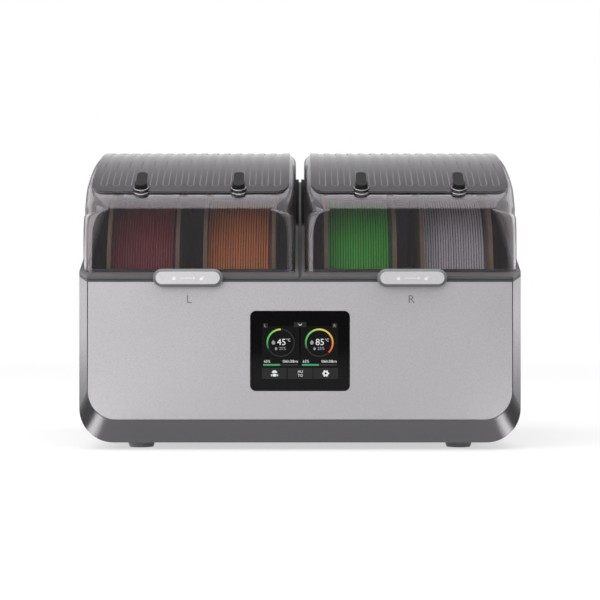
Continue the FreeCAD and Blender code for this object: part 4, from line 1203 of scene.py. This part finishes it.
latchArt = {
    "lock": 12.3, "lean": 1.3, "body": (0, -0.9, 2.7, 2.2, 0.35), "shackle": (0.3, 0.85, 0.42, 16),
    "arrow": 13.0, "drop": 0.2, "stroke": 0.45, "head": (0.8, 0.6, 2.2, 38), "thick": 0.05, "lift": 0.02 * mm,
}


def padlock(bm, u, v, lean):
    plate(bm, u, v, latchArt["body"])
    rise, radius, width, steps = latchArt["shackle"]
    arcBand(bm, u + lean, v + rise, radius, width, 0, math.pi, steps)


def drawLatches():
    look = latchArt
    finish = mouldedPlastic("markWhite", grey(0.8), rough=0.5)
    back, aside, length, turn = look["head"]
    for side in ("left", "right"):
        low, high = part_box(f"{side}_latch")
        u = (low.x + high.x) / 2 / mm
        v = (low.z + high.z) / 2 / mm
        bm = bmesh.new()
        padlock(bm, u - look["lock"], v, 0)
        padlock(bm, u + look["lock"], v, look["lean"])
        tile(bm, u, v - look["drop"], look["arrow"], look["stroke"])
        tip = u + look["arrow"] / 2 - back
        for way in (-1, 1):
            lean = -way * math.radians(turn)
            tile(bm, tip, v - look["drop"] + way * aside, length, look["stroke"], 0, lean)
        stick(f"{side}LatchMarks", bm, low.y - look["lift"], look["thick"], finish, f"{side}_latch")


drawLatches()

sideArt = {"marks": [("L", -99.4), ("R", 100.4)], "v": 136.2, "height": 7.0, "thick": 0.03, "lift": 0.01 * mm}


def drawSideMarks():
    finish = mouldedPlastic("markGrey", grey(0.13), rough=0.5)
    bm = bmesh.new()
    for text, u in sideArt["marks"]:
        words(bm, text, u, sideArt["v"], sideArt["height"])
    stick("sideMarks", bm, frontY - sideArt["lift"], sideArt["thick"], finish)


drawSideMarks()
print("marks drawn")


# stage, lamps and camera

viewLook = {"eye": 0.1354, "away": 1.498, "lens": 100.0, "sensor": 36.0}
camera = addObject("camera", bpy.data.cameras.new("camera"))
camera.data.lens = viewLook["lens"]
camera.data.sensor_width = viewLook["sensor"]
camera.location = (0, frontY - viewLook["away"], viewLook["eye"])
camera.rotation_euler = (math.radians(90), 0, 0)
scene.camera = camera

stageLook = {
    "size": 14, "floor": 0.86, "rough": 0.9, "near": 0.3, "far": 2.6, "glowNear": 0.14, "glowFar": 0.75,
    "veil": 0.5, "world": 0.3, "stripLevel": 6.0, "stripSpan": (0.15, 0.45),
    "strip": [
        (0.0, (0.19, 0.19, 0.19)), (0.13, (0.2, 0.2, 0.2)), (0.17, (1.0, 1.0, 1.0)), (0.2, (1.0, 1.0, 1.0)),
        (0.24, (0.07, 0.07, 0.07)), (0.5, (0.07, 0.07, 0.07)), (1.0, (0.16, 0.16, 0.16)),
    ],
}


def seen(tree, path):
    # rays that show the white surroundings
    through = compute(tree, "MAXIMUM", path["Is Glossy Ray"], path["Is Transmission Ray"])
    return compute(tree, "MAXIMUM", path["Is Camera Ray"], through)


def layFloor():
    look = stageLook
    bm = bmesh.new()
    bmesh.ops.create_grid(bm, x_segments=1, y_segments=1, size=look["size"])
    floor = addObject("floor", toMesh("floor", bm))
    material, tree, surface = startMaterial("paleFloor")
    path = put(tree, "LightPath").outputs
    place = put(tree, "TexCoord").outputs["Object"]
    distance = put(tree, "VectorMath", {"operation": "LENGTH"}, [place]).outputs["Value"]
    # the lamps fade with distance, and the glow makes up for it
    fill = spread(tree, distance, look["near"], look["far"], look["glowNear"], look["glowFar"])
    feed(
        tree, surface, Base_Color=grey(look["floor"]), Roughness=look["rough"], Specular_IOR_Level=0.0,
        Emission_Color=grey(1.0), Emission_Strength=compute(tree, "MULTIPLY", seen(tree, path), fill),
    )
    # reflections see a bright strip along each side of the case, and a darker floor outside it
    across = compute(tree, "ABSOLUTE", coordinate(tree, "Object", "X"))
    tone = ramp(tree, spread(tree, across, *look["stripSpan"]), look["strip"])
    overlay(tree, path["Is Glossy Ray"], put(tree, "Emission", Color=tone, Strength=look["stripLevel"]))
    # the camera sees only a faint shadow on a white floor
    veil = compute(tree, "MULTIPLY", path["Is Camera Ray"], look["veil"])
    overlay(tree, veil, put(tree, "Emission", Strength=1.0))
    floor.data.materials.append(material)


layFloor()

# cards that are seen only in reflections: names on the left and the right, place and aim on the right,
# size and levels
cards = [
    (("frontCard",), (0, -2.54, 1.05), (0, -1, 1.05), (2.3, 2.1), (0.12,)),
    (("frontLeftCard", "frontRightCard"), (2.05, -2.4, 1.2), (2.05, -1, 1.2), (1.8, 2.4), (1.5, 0.9)),
    (("leftCard", "rightCard"), (1.7, -0.6, 1.2), (0, -0.6, 1.2), (2.4, 2.4), (1.8, 1.8)),
    (("leftTopCard", "rightTopCard"), (1.5, -0.95, 1.56), (1.5, -0.95, 0), (1.0, 2.9), (2.0, 2.0)),
    (("leftLowCard", "rightLowCard"), (1.69, 0.6, 0.12), (0, 0.6, 0.12), (1.2, 0.24), (4.4, 4.0)),
    (("backCard",), (0, 1.6, 0.27), (0, 0, 0.27), (0.8, 0.54), (0.25,)),
    (("leftBackCard", "rightBackCard"), (1.9, 1.6, 0.5), (1.9, 0, 0.5), (3.0, 1.0), (0.2, 0.2)),
]


def standCard(name, place, aim, size, level):
    bm = bmesh.new()
    bmesh.ops.create_grid(bm, x_segments=1, y_segments=1, size=0.5)
    bmesh.ops.scale(bm, vec=(*size, 1), verts=bm.verts)
    facing = (aim - place).to_track_quat("Z", "Y").to_matrix().to_4x4()
    bmesh.ops.transform(bm, matrix=Matrix.Translation(place) @ facing, verts=bm.verts)
    card = addObject(name, toMesh(name, bm))
    card.visible_camera = False
    card.visible_diffuse = False
    card.visible_shadow = False
    card.visible_transmission = False
    material, tree, surface = startMaterial(name)
    feed(tree, surface, Base_Color=grey(0.01), Emission_Color=grey(1.0), Emission_Strength=level)
    card.data.materials.append(material)


for names, place, aim, size, levels in cards:
    for side, name, level in zip((-1, 1), names, levels):
        turn = Matrix.Diagonal((side, 1, 1))
        standCard(name, turn @ Vector(place), turn @ Vector(aim), size, level)

world = bpy.data.worlds.new("studio")
world.use_nodes = True
scene.world = world
tree = world.node_tree
tree.nodes.clear()
whole = compute(tree, "MULTIPLY", seen(tree, put(tree, "LightPath").outputs), 1 - stageLook["world"])
strength = compute(tree, "ADD", stageLook["world"], whole)
sky = put(tree, "Background", Color=grey(1.0), Strength=strength)
put(tree, "OutputWorld", Surface=sky.outputs[0])

# place, aim, size and radiance
lamps = {
    "topBox": ((0, -0.5, 1.55), (0, -0.5, 0), (2.0, 2.1), 2.2),
    "keyBox": ((-0.85, -0.8, 0.45), (-0.15, -0.13, 0.15), (0.9, 0.9), 2.6),
    "leftBox": ((-1.4, 0.5, 0.9), (0, 0, 0.2), (0.8, 0.9), 1.5),
    "rightBox": ((1.4, 0.5, 0.9), (0, 0, 0.2), (0.8, 0.9), 1.5),
}
for name, (place, aim, size, radiance) in lamps.items():
    lamp = bpy.data.lights.new(name, "AREA")
    lamp.shape = "RECTANGLE"
    lamp.size, lamp.size_y = size
    lamp.energy = radiance * math.pi * lamp.size * lamp.size_y
    stand = addObject(name, lamp)
    stand.location = place
    stand.rotation_euler = (Vector(aim) - Vector(place)).to_track_quat("-Z", "Y").to_euler()
scene.view_settings.view_transform = "Standard"
print("stage:", len(lamps), "lamps")
